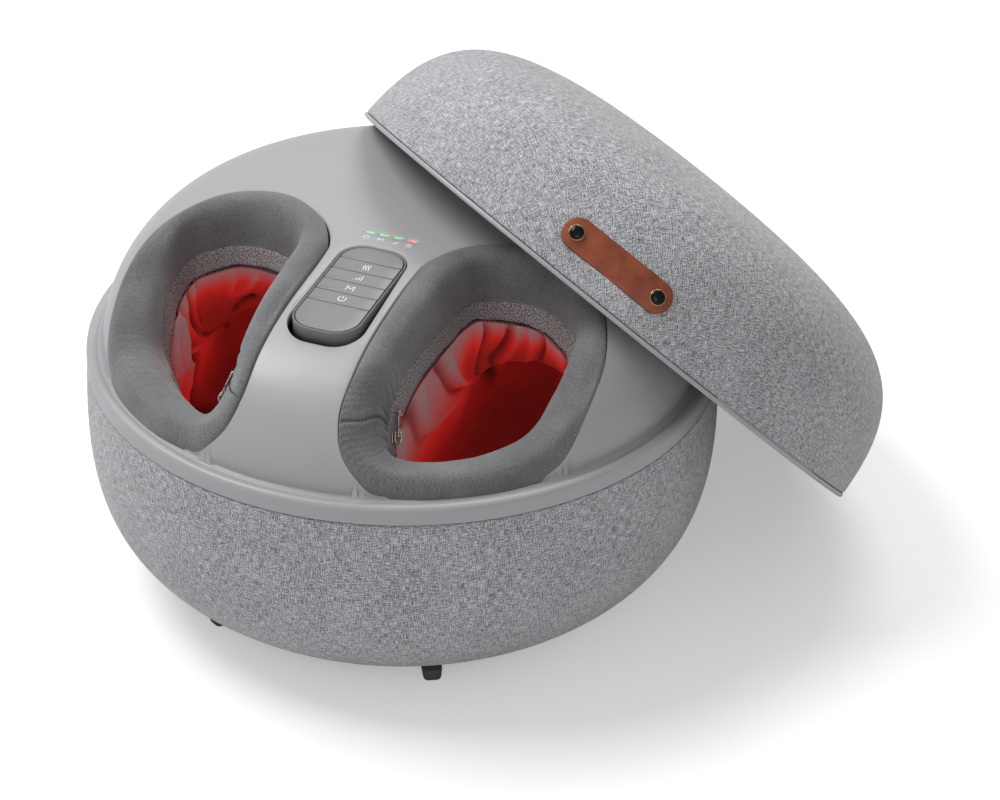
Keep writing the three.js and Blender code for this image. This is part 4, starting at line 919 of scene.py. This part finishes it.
# Each bag: its folds' wobble and lines, and the middle, half width and reach of its pale stretch
# of painted room light
bags = [(0.3, right_fold_shares, 0.915, 0.085, 0.6), (1.9, left_fold_shares, 0.49, 0.06, 0.42)]
for (side, flip), (wobble, folds, room_light_share, room_light_width, room_light_reach) in zip(flips.items(), bags):
    shares = np.linspace(0, 1, liner_stations, endpoint=False)
    inside_points, relief, lean = liner_points(shares, liner_thickness, wobble, folds)
    outside_points, _, _ = liner_points(shares, 0.0, wobble, folds)
    # Painted light: the red glow is brightest just under the hem and fades down to painted shade at the deep
    # end, the pale stretch near the hem gets painted room light, ridges get painted highlights and creases
    # painted shade
    far = room_light_reach * bell(wrapped(shares - room_light_share, 1), room_light_width)[None]
    glow = glow_base + glow_depth * bell(lean, 0.45) + glow_reach * bell(lean, 0.08 + far / 2)
    glow = glow + glow_hem * bell(lean, 0.035 + far) + glow_relief * relief
    grid = np.concatenate([inside_points, outside_points[::-1]])
    marks = {"painted_glow_and_edge_burnish": np.concatenate([glow, 0 * glow]).clip(0, 1),
             "painted_crease_shade": np.concatenate([-relief, 0 * relief]).clip(0, 1)}
    liner = surface(f"{side}_liner_bag", grid * flip, jersey, True, True, None, marks)
    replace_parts(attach(liner, "base"), f"{side}_foot_liner")


# Zip sliders: die-cast zinc, nickel plated, run on to the coil at the inner front of each well,
# with a stamped pull tab that swings on the slider's bridge.
slider_length, slider_width, slider_height = 9.0, 7.0, 3.0
bridge_height, bridge_width = 3.2, 2.0
pull_length, pull_width, pull_thickness, pull_arms = 18.0, 6.0, 1.0, 6.0
seat_clearance = 0.3
bridge_wire, neck_wire, pull_wire, eye_wire, eye_radius = 0.62, 1.1, 0.55, 0.28, 1.3
tape_run = np.array([-0.21805, 0.60887, 0.76271])


def plated_zinc():
    """Nickel-plated zinc: bright but tumbled, so its shine is a little uneven."""
    finish, tree, shader = new_finish("nickel_plated_zinc", Base_Color=linear("C3C1BC"), Metallic=1.0)
    place = add(tree, "TexCoord").outputs["Object"]
    wear = add(tree, "TexNoise", {"Vector": place, "Scale": 1 / (2 * mm), "Detail": 3})
    shine = add(tree, "MapRange", {0: wear.outputs[0], 1: 0.35, 2: 0.65, 3: 0.2, 4: 0.42})
    tree.links.new(shine.outputs[0], shader.inputs["Roughness"])
    bump = add(tree, "Bump", {"Height": wear.outputs[0], "Strength": 0.1, "Distance": 0.1 * mm})
    tree.links.new(bump.outputs[0], shader.inputs["Normal"])
    return finish


def rounded(low, high, edge, steps=4):
    """Insets and heights up a side wall whose two edges are quarter circles."""
    turn = np.linspace(0, np.pi / 2, steps)
    inset = edge * (1 - np.sin(turn))
    bend = edge * (1 - np.cos(turn))
    return [*zip(inset, low + bend), *zip(inset[::-1], high - bend[::-1])]


def slab_grid(loop, profile, caps, centre):
    """Rings of an outline, inset along a profile of (inset, height) and closed at both ends by
    rings that shrink to its centre, a point or a line."""
    normal = outwards(loop)
    rings = [np.column_stack([loop - normal * inset, np.full(len(loop), up)]) for inset, up in profile]
    shares = np.linspace(1, 0, caps + 1)[1:, None, None]
    middles = [np.column_stack([np.broadcast_to(centre, loop.shape), ring[:, 2]]) for ring in rings]
    low, high = (middles[k] + (rings[k] - middles[k]) * shares for k in (0, -1))
    return np.concatenate([low[::-1], np.stack(rings), high])


def slab(name, loop, profile, finish, place, caps=2):
    """An outline with thickness. place moves its points."""
    grid = slab_grid(loop, profile, caps, loop.mean(0))
    joined = np.concatenate([grid, grid[:, :1]], 1)
    return surface(name, place(grid), finish, True, False, joined[..., :2])


def slider_place(flip):
    """Moves points from the slider's own axes (along the tape, across it, out of it) to its seat,
    which lies under the pin that its pull swings on."""
    swing = next(row for row in frame["joints"] if row["name"] == "right_zip_pull_swing")
    across = -np.array(swing["axis"])
    out = np.cross(tape_run, across)
    seat = np.array(swing["pos_m"]) / mm - out * (slider_height + bridge_height / 2)
    axes = np.stack([tape_run, across, out])
    return lambda points: (points @ axes + seat) * flip


def slider_outline():
    """Slider seen from above: a shield, wide in front where the two coils enter, narrow behind."""
    share = np.linspace(0, 1, 48, endpoint=False)
    turn = -2 * np.pi * share
    x = slider_length / 2 * np.sign(np.cos(turn)) * np.abs(np.cos(turn)) ** 0.6
    y = slider_width / 2 * np.sign(np.sin(turn)) * np.abs(np.sin(turn)) ** 0.6
    return np.stack([x, y * (0.86 + 0.14 * x / (slider_length / 2))], 1)


def pull_outline(steps=14):
    """Pull tab: straight sides and a round end."""
    turn = np.linspace(np.pi / 2, -np.pi / 2, steps)
    half = pull_width / 2
    tip = np.stack([pull_length - half + half * np.cos(turn), half * np.sin(turn)], 1)
    root = np.array([[pull_arms, -half], [pull_arms, -half / 2], [pull_arms, half / 2], [pull_arms, half]])
    return np.vstack([tip, root])


def moved_way(place, way):
    """A direction as a place turns it."""
    here, there = place(np.array([[0, 0, 0], way], float))
    return there - here


nickel = plated_zinc()
for side, flip in flips.items():
    place = slider_place(flip)
    across, out = moved_way(place, (0, 1, 0)), moved_way(place, (0, 0, 1))
    slider = slab(f"{side}_slider_body", slider_outline(), rounded(0, 1.1, 0.4), nickel, place)
    top = rounded(1.9, slider_height, 0.4)
    plate = slab(f"{side}_slider_top", slider_outline() * 0.94, top, nickel, place)
    turn = np.linspace(0, np.pi, 20)
    half = slider_length / 2 - 1
    arch_height = slider_height - 0.4 + bridge_height * np.sin(turn) ** 0.6
    arch = np.stack([half * np.cos(turn), 0 * turn, arch_height], 1)
    bridge = threads(f"{side}_slider_bridge", [place(arch)], bridge_wire, nickel, across, 8)
    post = np.array([[1.5, 0, 0.8], [1.5, 0, 1.4], [1.5, 0, 2.2]])
    neck = threads(f"{side}_slider_neck", [place(post)], neck_wire, nickel, across, 12)
    for piece in (slider, plate, bridge, neck):
        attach(piece, "base")
    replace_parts(slider, f"{side}_zip_slider")
    pin_height = slider_height + bridge_height / 2
    level = pin_height - pull_thickness / 2
    tab = slab(f"{side}_pull_tab", pull_outline(), rounded(level, level + pull_thickness, 0.3), nickel, place)
    reach = bridge_width / 2 + seat_clearance + 0.6
    hook = np.array([
        [pull_arms + 0.6, -reach], [2, -reach], [0.4, -reach], [0, -reach * 0.6],
        [0, reach * 0.6], [0.4, reach], [2, reach], [pull_arms + 0.6, reach],
    ])
    hook = spline(np.column_stack([hook, np.full(len(hook), pin_height)]), np.linspace(0, 1, 40), False)
    ring = threads(f"{side}_pull_ring", [place(hook)], pull_wire, nickel, out, 8)
    eye_turn = np.linspace(0, 2 * np.pi, 33)
    eye = np.stack([eye_radius * np.cos(eye_turn), eye_radius * np.sin(eye_turn), 0 * eye_turn], 1)
    eye = eye + [pull_length - 3, 0, level + pull_thickness]
    rim = threads(f"{side}_pull_eye", [place(eye)], eye_wire, nickel, out, 6)
    for piece in (tab, ring, rim):
        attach(piece, f"{side}_zip_pull_body")
    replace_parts(tab, f"{side}_zip_pull")


# Control panel: an ABS housing that stands proud of the dome in front. A thin bezel and a dark
# groove go round its keys, with a fixed cap behind them and a bare one in front.
panel_rim, panel_groove, panel_depth = 0.95, 1.9, 17.0
key_pitch, key_gap, keys_back_edge, key_thickness = 12.9, 0.4, 32.7, 3.0
key_names = ["heat_key", "intensity_key", "mode_key", "power_key"]
icon_stroke, icon_thickness = 0.5, 0.06
panel_text, key_text, icon_text = "78797B", "858688", "FAFAFA"


def turn_about(first, second, angle):
    """The matrix of a turn in the plane of two axes."""
    matrix = np.eye(3)
    matrix[first, first] = matrix[second, second] = math.cos(angle)
    matrix[first, second], matrix[second, first] = math.sin(angle), -math.sin(angle)
    return matrix


def panel_place(points):
    """From the panel's own face to its place in the dome, tilted about the X axis."""
    return points @ turn_about(1, 2, panel_slope) + panel_middle


def clipped(loop, low, high, corner=0.7):
    """The part of an outline between two y values, spaced evenly, with its corners rounded."""
    dense = np.vstack([loop, loop[:1]])
    points = sampled(dense, np.linspace(0, runs(dense)[-1], 3000, endpoint=False))
    points = points[(points[:, 1] >= low) & (points[:, 1] <= high)]
    ends = np.vstack([points, points[:1]])
    end = runs(ends)[-1]
    points = sampled(ends, np.linspace(0, end, 400, endpoint=False))
    reach = max(1, int(corner * 400 / end))
    return sum(np.roll(points, k, 0) for k in range(-reach, reach + 1))[::3] / (2 * reach + 1)


def strokes(name, lines, width, thickness, finish, place, level=0.0):
    """Printed lines: flat strips along lines of points, a little above the face."""
    points, faces, used = [], [], 0
    for line in lines:
        along = unit(np.gradient(line, axis=0))
        side = np.stack([-along[:, 1], along[:, 0]], 1) * width / 2
        rows = [np.column_stack([line + side * k, np.full(len(line), level + up)])
                for k, up in ((-1, 0), (1, 0), (1, thickness), (-1, thickness))]
        last = 4 * len(line) - 1
        ends = [[0, 1, 2, 3], [last, last - 1, last - 2, last - 3]]
        quads = np.concatenate([grid_quads(len(line), 4)[1], ends])
        faces.extend((quads + used).tolist())
        points.append(place(np.stack(rows, 1).reshape(-1, 3)))
        used += 4 * len(line)
    piece = tidy_mesh(new_piece(name, np.concatenate(points), faces, finish))
    piece.data.polygons.foreach_set("use_smooth", np.zeros(len(piece.data.polygons), bool))
    return piece


def icon_lines(kind, size):
    """Common symbols in a square of the given size: waves, rising bars, a letter M, a power ring."""
    share = np.linspace(0, 1, 24)
    if kind == "heat_key":
        wave = 0.08 * size * np.sin(share * 2 * np.pi * 1.5)
        return [np.stack([x * size + wave, (share - 0.5) * 0.9 * size], 1) for x in (-0.3, 0, 0.3)]
    if kind == "intensity_key":
        return [np.array([[x * size, -0.42 * size], [x * size, (-0.42 + tall) * size]])
                for x, tall in ((-0.42, 0.16), (-0.14, 0.4), (0.14, 0.64), (0.42, 0.88))]
    if kind == "mode_key":
        corners = np.array([[-0.4, -0.42], [-0.4, 0.42], [0, -0.12], [0.4, 0.42], [0.4, -0.42]])
        return [corners[k:k + 2] * size for k in range(4)]
    turn = np.linspace(math.radians(52), math.radians(-232), 40)
    ring = 0.42 * size * np.stack([np.cos(turn), np.sin(turn)], 1)
    return [ring, np.array([[0, 0.05 * size], [0, 0.52 * size]])]


panel_abs = satin_abs("satin_abs_panel_grey", panel_text, 0.3, 0.42)
key_abs = satin_abs("satin_abs_key_grey", key_text, 0.3, 0.36)
print_ink, ink_tree, ink_shader = new_finish("white_pad_print_ink", Base_Color=linear(icon_text),
                                             Roughness=0.55)
ink_place = add(ink_tree, "TexCoord").outputs["Object"]
ink_grain = add(ink_tree, "TexNoise", {"Vector": ink_place, "Scale": 1 / (0.4 * mm)})
ink_bump = add(ink_tree, "Bump", {"Height": ink_grain.outputs[0], "Strength": 0.1, "Distance": 0.05 * mm})
ink_tree.links.new(ink_bump.outputs[0], ink_shader.inputs["Normal"])
panel_loop = round_box(panel_width, panel_length, panel_corner, 16)
tray = [(2.4, -panel_depth), (0.0, -panel_depth), (0.0, -1.0), (0.1, -0.45), (0.35, -0.12), (0.6, 0.0),
        (panel_rim, -0.05), (1.25, -0.4), (1.35, -1.2), (1.35, -3.9)]
housing = slab("panel_housing", panel_loop, tray, panel_abs, panel_place, 3)
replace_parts(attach(housing, "base"), "control_panel")
inner_loop = panel_loop - outwards(panel_loop) * panel_groove
back_end = keys_back_edge + key_gap / 2
front_end = keys_back_edge - key_pitch * len(key_names) - key_gap / 2
for name, low, high in (("panel_back_cap", back_end, 99), ("panel_front_cap", -99, front_end)):
    cap = slab(name, clipped(inner_loop, low, high), rounded(-3.6, 0.15, 0.45), key_abs, panel_place, 3)
    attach(cap, "base")
for k, name in enumerate(key_names):
    high = keys_back_edge - k * key_pitch - key_gap / 2
    key_loop = clipped(inner_loop, high - key_pitch + key_gap, high)
    key = slab(f"{name}_cap", key_loop, rounded(-key_thickness, 0.15, 0.45), key_abs, panel_place, 3)
    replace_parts(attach(key, f"{name}_body"), name)
    middle = np.array([0, high - (key_pitch - key_gap) / 2])
    icon = strokes(f"{name}_icon", [line + middle for line in icon_lines(name, 6.0)], icon_stroke,
                   icon_thickness, print_ink, panel_place, 0.15)
    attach(icon, f"{name}_body")


# Indicator lights: light-pipe bars of clear polycarbonate, level with the dome, three lit green
# and one red, each over its own small printed symbol.
light_names = [("power_light", "power_key"), ("mode_light", "mode_key"),
               ("intensity_light", "intensity_key"), ("heat_light", "heat_key")]
lit_green, lit_red = "35B24A", "E0454F"
icon_drop, icon_size = 6.2, 4.2


def lit_bar(name, text):
    """Light pipe: polycarbonate that glows at an even strength, hazed with paler spots."""
    finish, tree, shader = new_finish(name, Base_Color=linear(text), Roughness=0.25, IOR=1.58)
    place = add(tree, "TexCoord").outputs["Object"]
    haze = add(tree, "TexNoise", {"Vector": place, "Scale": 1 / (1.5 * mm)})
    mix = add(tree, "ValToRGB", {"Fac": haze.outputs[0]}, stops=[(0.3, text), (0.9, "F4F6F0")])
    tree.links.new(mix.outputs[0], shader.inputs["Emission Color"])
    shader.inputs["Emission Strength"].default_value = 0.85
    return finish


def on_dome(points):
    """Moves points in plan up on to the dome, by their own height."""
    rise = dome_height(points[..., 0], points[..., 1])[..., None]
    return np.concatenate([points[..., :2], points[..., 2:] + rise], -1)


green_pipe = lit_bar("lit_polycarbonate_green", lit_green)
red_pipe = lit_bar("lit_polycarbonate_red", lit_red)
for k, (name, kind) in enumerate(light_names):
    middle = np.array([(k - 1.5) * light_pitch, light_row])
    pipe = red_pipe if name == "heat_light" else green_pipe
    loop = round_box(light_length, light_width, 0.6, 5) + middle
    bar = slab(f"{name}_bar", loop, rounded(-5.5, 0.12, 0.3), pipe, on_dome)
    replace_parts(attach(bar, "base"), name)
    symbol = middle - [0, icon_drop]
    lines = [line + symbol for line in icon_lines(kind, icon_size)]
    mark = strokes(f"{name}_symbol", lines, 0.42, icon_thickness, print_ink, on_dome, 0.03)
    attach(mark, "base")


# Lid: a moulded ABS dome under stretched melange weave, with a bare rim, leaning on the base.
lid_height = 115.0
lid_radius = 212.0
lid_pulls = [(212, 0), (208, 88), (173, 115), (0, 115)]
lid_lean, lid_turn = math.radians(45.3), math.radians(37.9)
lid_rim_height, lid_rim_width = 3.0, 7.0
lid_cover_low = 3.3
lid_gap, lid_wall = 0.3, 2.6
lid_axes = turn_about(0, 1, lid_turn) @ turn_about(1, 2, lid_lean)
lid_box = np.array([tuple(v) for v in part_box("lid_rim")]) / mm
lid_middle = lid_box.mean(0) - lid_axes[:, 2] * lid_rim_height / 2


def lid_place(points):
    """From the lid's own axes, drawn upright over its rim's centre, to where it leans."""
    return points @ lid_axes.T + lid_middle


def lid_line(low, inset, steps=90):
    """The lid's profile from a height above the rim up to its pole, moved in by an inset."""
    fine = bezier(lid_pulls, np.linspace(0, 1, 1200))
    line = fine[fine[:, 1] >= low]
    line = moved_in(sampled(line, np.linspace(0, runs(line)[-1], steps)), inset)
    line[-1] = [0, lid_height - inset]
    return line


cover_outer, cover_inner = band(lid_line(lid_cover_low, 0), cover_thickness, True)
lid_cover = turned("lid_cover_cloth", np.vstack([cover_outer, cover_inner[::-1]]), weave, True,
                   lid_place, True)
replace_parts(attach(lid_cover, "lid"), "lid_cover")
shell_line = lid_line(lid_cover_low, cover_thickness + lid_gap)
shell_outer, shell_inner = band(shell_line, lid_wall, True)
lid_inside = turned("lid_shell_moulding", np.vstack([shell_outer, shell_inner[::-1]]), shell_abs, True,
                    lid_place)
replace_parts(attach(lid_inside, "lid"), "lid_shell")
outer, inner = lid_radius + 0.3, lid_radius - lid_rim_width
rim_profile = np.array([
    [inner, 0.5], [inner + 0.5, 0], [outer - 1.0, 0], [outer - 0.3, 0.3], [outer, 1.0], [outer, 2.2],
    [outer - 0.2, 2.8], [outer - 0.7, lid_rim_height], [inner + 0.5, lid_rim_height],
    [inner, lid_rim_height - 0.5],
])
lid_rim = turned("lid_rim_moulding", rim_profile, shell_abs, True, lid_place)
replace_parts(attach(lid_rim, "lid"), "lid_rim")


# Lid tag: full-grain leather, cut to a round-ended strip, dyed tan with a dark burnished edge and
# bent over the lid's side, where two domed rivets hold it.
tag_turn = math.radians(136.4)
tag_height, tag_length, tag_width, tag_thickness, tag_lift = 29.0, 85.0, 21.0, 2.0, 0.6
rivet_spacing, rivet_height = 65.6, 2.6
head_radius, head_edge, head_sunk = 4.7, 0.9, 0.4
ring_radius, ring_height, ring_wire = 4.9, 0.28, 0.42
edge_darkness = 0.85


def lid_side(points):
    """Places points given as (along the rim, up the side, out of it) on the lid's side."""
    fine = bezier(lid_pulls, np.linspace(0, 0.6, 900))
    slope = unit(np.gradient(fine, axis=0))
    at = tag_height + points[..., 1]
    radius, rise = (np.interp(at, fine[:, 1], fine[:, k]) for k in (0, 1))
    out_x, out_z = np.interp(at, fine[:, 1], slope[:, 1]), np.interp(at, fine[:, 1], -slope[:, 0])
    radius, rise = radius + out_x * points[..., 2], rise + out_z * points[..., 2]
    turn = np.pi - tag_turn + points[..., 0] / lid_radius
    return lid_place(np.stack([radius * np.sin(turn), -radius * np.cos(turn), rise], -1))


def tan_leather():
    """Full-grain leather: fine pores and creases, softly waxed, darker where it was rubbed."""
    finish, tree, shader = new_finish("full_grain_leather_tan", Roughness=0.45, Specular_IOR_Level=0.45)
    place = add(tree, "TexCoord").outputs["Object"]
    edge = add(tree, "Attribute", attribute_name="painted_glow_and_edge_burnish")
    clouds = add(tree, "TexNoise", {"Vector": place, "Scale": 1 / (14 * mm), "Detail": 4, "Roughness": 0.6})
    pores = add(tree, "TexVoronoi", {"Vector": place, "Scale": 1 / (0.9 * mm)})
    mix = add(tree, "ValToRGB", {"Fac": clouds.outputs[0]}, stops=[(0.3, "733520"), (0.5, "8A4226"), (0.7,
                                                                                                      "9A4D2D")])
    dark = add(tree, "Mix", {0: edge.outputs["Fac"], 6: mix.outputs[0], 7: linear("4A2413")},
               data_type="RGBA")
    tree.links.new(dark.outputs[2], shader.inputs["Base Color"])
    shine = add(tree, "MapRange", {0: clouds.outputs[0], 1: 0.3, 2: 0.7, 3: 0.36, 4: 0.52})
    tree.links.new(shine.outputs[0], shader.inputs["Roughness"])
    bump = add(tree, "Bump", {"Height": pores.outputs[0], "Strength": 0.3, "Distance": 0.15 * mm})
    tree.links.new(bump.outputs[0], shader.inputs["Normal"])
    return finish


leather = tan_leather()
tag_loop = round_box(tag_length, tag_width, tag_width / 2 - 0.01, 22)
tag_profile = rounded(tag_lift, tag_lift + tag_thickness, 0.55)
tag_caps = 9
spine = np.column_stack([np.clip(tag_loop[:, 0], -32, 32), np.zeros(len(tag_loop))])
grid = slab_grid(tag_loop, tag_profile, tag_caps, spine)
edge = np.zeros(grid.shape[:2])
edge[tag_caps + 1:-tag_caps - 1] = edge_darkness
tag = surface("leather_tag_strip", lid_side(grid), leather, True, False, None, {"painted_glow_and_edge_burnish": edge})
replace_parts(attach(tag, "lid"), "lid_tag")


def rivet_finish(name, text, low, high):
    """Turned metal with a fine, slightly uneven polish."""
    finish, tree, shader = new_finish(name, Base_Color=linear(text), Metallic=1.0)
    place = add(tree, "TexCoord").outputs["Object"]
    wear = add(tree, "TexNoise", {"Vector": place, "Scale": 1 / (1.5 * mm), "Detail": 3})
    shine = add(tree, "MapRange", {0: wear.outputs[0], 1: 0.35, 2: 0.65, 3: low, 4: high})
    tree.links.new(shine.outputs[0], shader.inputs["Roughness"])
    return finish


gunmetal = rivet_finish("black_nickel_rivet", "2B2B2E", 0.16, 0.3)
brass = rivet_finish("brass_rivet_ring", "C2A878", 0.2, 0.35)
for k, along in enumerate((-rivet_spacing / 2, rivet_spacing / 2)):
    seat = tag_lift + tag_thickness
    spot = lid_side(np.array([[along, 0, seat]]))[0]
    out = lid_side(np.array([[along, 0, seat + 1]]))[0] - spot
    side_way = unit(np.cross(out, [0, 0, 1]))
    rows = np.stack([side_way, np.cross(out, side_way), out])
    on_tag = lambda points, rows=rows, spot=spot: points @ rows + spot
    turn = np.linspace(0, np.pi / 2, 10)
    rise = head_edge + (rivet_height - head_edge) * np.sin(turn)
    dome_line = np.stack([head_radius * np.cos(turn), rise], 1)
    profile = np.vstack([[[0, -head_sunk]], [[head_radius, -head_sunk]], dome_line])
    profile[-1, 0] = 0
    head = turned(f"tag_rivet_head_{k + 1}", profile, gunmetal, True, on_tag, steps=48)
    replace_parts(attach(head, "lid"), f"tag_rivet_{k + 1}")
    around = angles(12)
    ring = np.stack([ring_radius + ring_wire * np.cos(around), ring_height + ring_wire * np.sin(around)], 1)
    collar = turned(f"tag_rivet_ring_{k + 1}", ring, brass, True, on_tag, steps=48)
    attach(collar, "lid")


# Feet: grey rubber blocks, moulded with a taper and round edges, pushed into the base plate.
foot_width, foot_length, foot_reach, foot_low, foot_high = 13.0, 30.0, 161.0, -9.0, -0.3


def moulded(name, text, roughness, grain, strength, metallic=0.0):
    """A plain moulded or cast finish with its own grain, in millimetres, and uneven shine."""
    finish, tree, shader = new_finish(name, Base_Color=linear(text), Metallic=metallic)
    place = add(tree, "TexCoord").outputs["Object"]
    speck = add(tree, "TexNoise", {"Vector": place, "Scale": 1 / (grain * mm), "Detail": 2})
    shine = add(tree, "MapRange", {0: speck.outputs[0], 1: 0.3, 2: 0.7, 3: roughness - 0.07,
                                   4: roughness + 0.07})
    tree.links.new(shine.outputs[0], shader.inputs["Roughness"])
    bump = add(tree, "Bump", {"Height": speck.outputs[0], "Strength": strength, "Distance": 0.2 * mm})
    tree.links.new(bump.outputs[0], shader.inputs["Normal"])
    return finish


rubber = moulded("grey_rubber", "4E5153", 0.75, 0.8, 0.2)
loop = round_box(foot_length, foot_width, 4.0, 6) + [foot_reach - foot_length / 2, 0]
profile = [(1.4, foot_low), (0.9, foot_low + 0.4), (0.5, foot_low + 1.4), (0.0, foot_high - 0.4),
           (0.4, foot_high)]
for k in range(6):
    way = turn_about(0, 1, k * math.pi / 3)
    foot = slab(f"rubber_foot_{k + 1}", loop, profile, rubber, lambda points, way=way: points @ way)
    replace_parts(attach(foot, "base"), f"foot_{k + 1}")


# Inside and underneath: the plate, wall, mechanism, boards and screws keep their own shapes and
# get their real finishes. Gears and discs are acetal, shafts and frames steel.
dark_abs = moulded("textured_abs_black", "37383A", 0.55, 0.7, 0.25)
acetal = moulded("moulded_acetal", "D8D6CC", 0.35, 1.5, 0.08)
zinc = moulded("zinc_plated_steel", "B4B5B3", 0.35, 0.8, 0.1, 1.0)
motor_can = moulded("nickel_plated_motor_can", "9A9A98", 0.3, 2.0, 0.05, 1.0)
board_mask = moulded("green_solder_mask", "1F5A3A", 0.4, 1.2, 0.1)
lamp_bulb = moulded("red_lamp_glass", "A01A14", 0.15, 3.0, 0.05)
plain = {
    dark_abs: ["base_wall", "bottom_plate", "power_inlet", "mechanism_frame"],
    acetal: ["front_disc", "middle_disc", "back_disc", "worm_wheel"],
    zinc: ["worm", *(f"base_screw_{k}" for k in range(1, 5))],
    motor_can: ["motor"],
    board_mask: ["main_board", "control_board"],
    lamp_bulb: ["heat_lamp"],
}
for finish, names in plain.items():
    for name in names:
        for node in (name, f"right_{name}", f"left_{name}"):
            if node in frame["nodes"]:
                mesh = frame["nodes"][node].data
                mesh.materials.clear()
                mesh.materials.append(finish)


# Stage: a pale sweep under the object, lifted to white where the camera sees it plainly, as in
# a catalogue photograph, so that only the soft shadow stays.
floor_lift, world_level = 0.37, 0.37
floor_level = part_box("foot_1")[0].z
bpy.ops.mesh.primitive_plane_add(size=14, location=(0, 0, floor_level))
floor = bpy.context.object
paper, paper_tree, paper_shader = new_finish("studio_paper", Base_Color=linear("E6E6E7"), Roughness=0.95)
paper_shader.inputs["Emission Color"].default_value = linear("FFFFFF")
paper_ray = add(paper_tree, "LightPath").outputs["Is Camera Ray"]
paper_lift = add(paper_tree, "Math", {0: paper_ray, 1: floor_lift}, operation="MULTIPLY")
paper_tree.links.new(paper_lift.outputs[0], paper_shader.inputs["Emission Strength"])
floor.data.materials.append(paper)

# Lamps: a broad soft key from the upper left, a weak one from the right front, and one behind.
# Each has its name, place, aim, size in metres, watts and colour.
lamps = [
    ("key", (-1.35, -0.25, 2.55), (0, 0, 0.15), 1.4, 50, "FFFFFF"),
    ("front", (0.9, -2.4, 1.3), (0, 0, 0.15), 1.6, 8, "FFFFFF"),
    ("behind", (-0.1, 1.7, 2.2), (0, 0, 0.2), 1.3, 24, "FFFFFF"),
]
for name, spot, aim, size, watts, text in lamps:
    light = bpy.data.lights.new(name, "AREA")
    light.shape, light.size, light.energy = "DISK", size, watts
    light.color = linear(text)[:3]
    lamp = bpy.data.objects.new(name, light)
    lamp.location = spot
    lamp.rotation_euler = (Vector(aim) - Vector(spot)).to_track_quat("-Z", "Y").to_euler()
    bpy.context.scene.collection.objects.link(lamp)

# Camera: a long lens, placed by a fit to the photograph's outlines. The world is white where the
# camera sees it and dimmer as a light, so that the object keeps its shade.
camera_azimuth, camera_elevation, camera_roll = (math.radians(v) for v in (20.8, 32.32, 1.25))
camera_distance, camera_shift_x, camera_shift_y = 2045.4, 65.75, -0.16
camera_target = np.array([0, 0, 111.0])
back = np.array([
    math.sin(camera_azimuth) * math.cos(camera_elevation),
    -math.cos(camera_azimuth) * math.cos(camera_elevation),
    math.sin(camera_elevation),
])
right = np.array([math.cos(camera_azimuth), math.sin(camera_azimuth), 0])
up = np.cross(back, right)
spot = camera_target + back * camera_distance + right * camera_shift_x + up * camera_shift_y
rolled_right = right * math.cos(camera_roll) + up * math.sin(camera_roll)
rolled_up = up * math.cos(camera_roll) - right * math.sin(camera_roll)
lens = bpy.data.cameras.new("camera")
lens.sensor_width = 36
lens.lens = 108
lens.clip_start, lens.clip_end = 0.05, 50
camera = bpy.data.objects.new("camera", lens)
bpy.context.scene.collection.objects.link(camera)
turn = np.eye(4)
turn[:3, 0], turn[:3, 1], turn[:3, 2], turn[:3, 3] = rolled_right, rolled_up, back, spot * mm
camera.matrix_world = turn.T
bpy.context.scene.camera = camera
bpy.context.scene.view_settings.view_transform = "Standard"
world = bpy.data.worlds.new("studio")
bpy.context.scene.world = world
world.use_nodes = True
sky = world.node_tree.nodes["Background"]
sky.inputs["Color"].default_value = (1, 1, 1, 1)
seen = add(world.node_tree, "LightPath").outputs["Is Camera Ray"]
sky_level = add(world.node_tree, "MapRange", {0: seen, 1: 0.0, 2: 1.0, 3: world_level, 4: 1.0})
world.node_tree.links.new(sky_level.outputs[0], sky.inputs["Strength"])
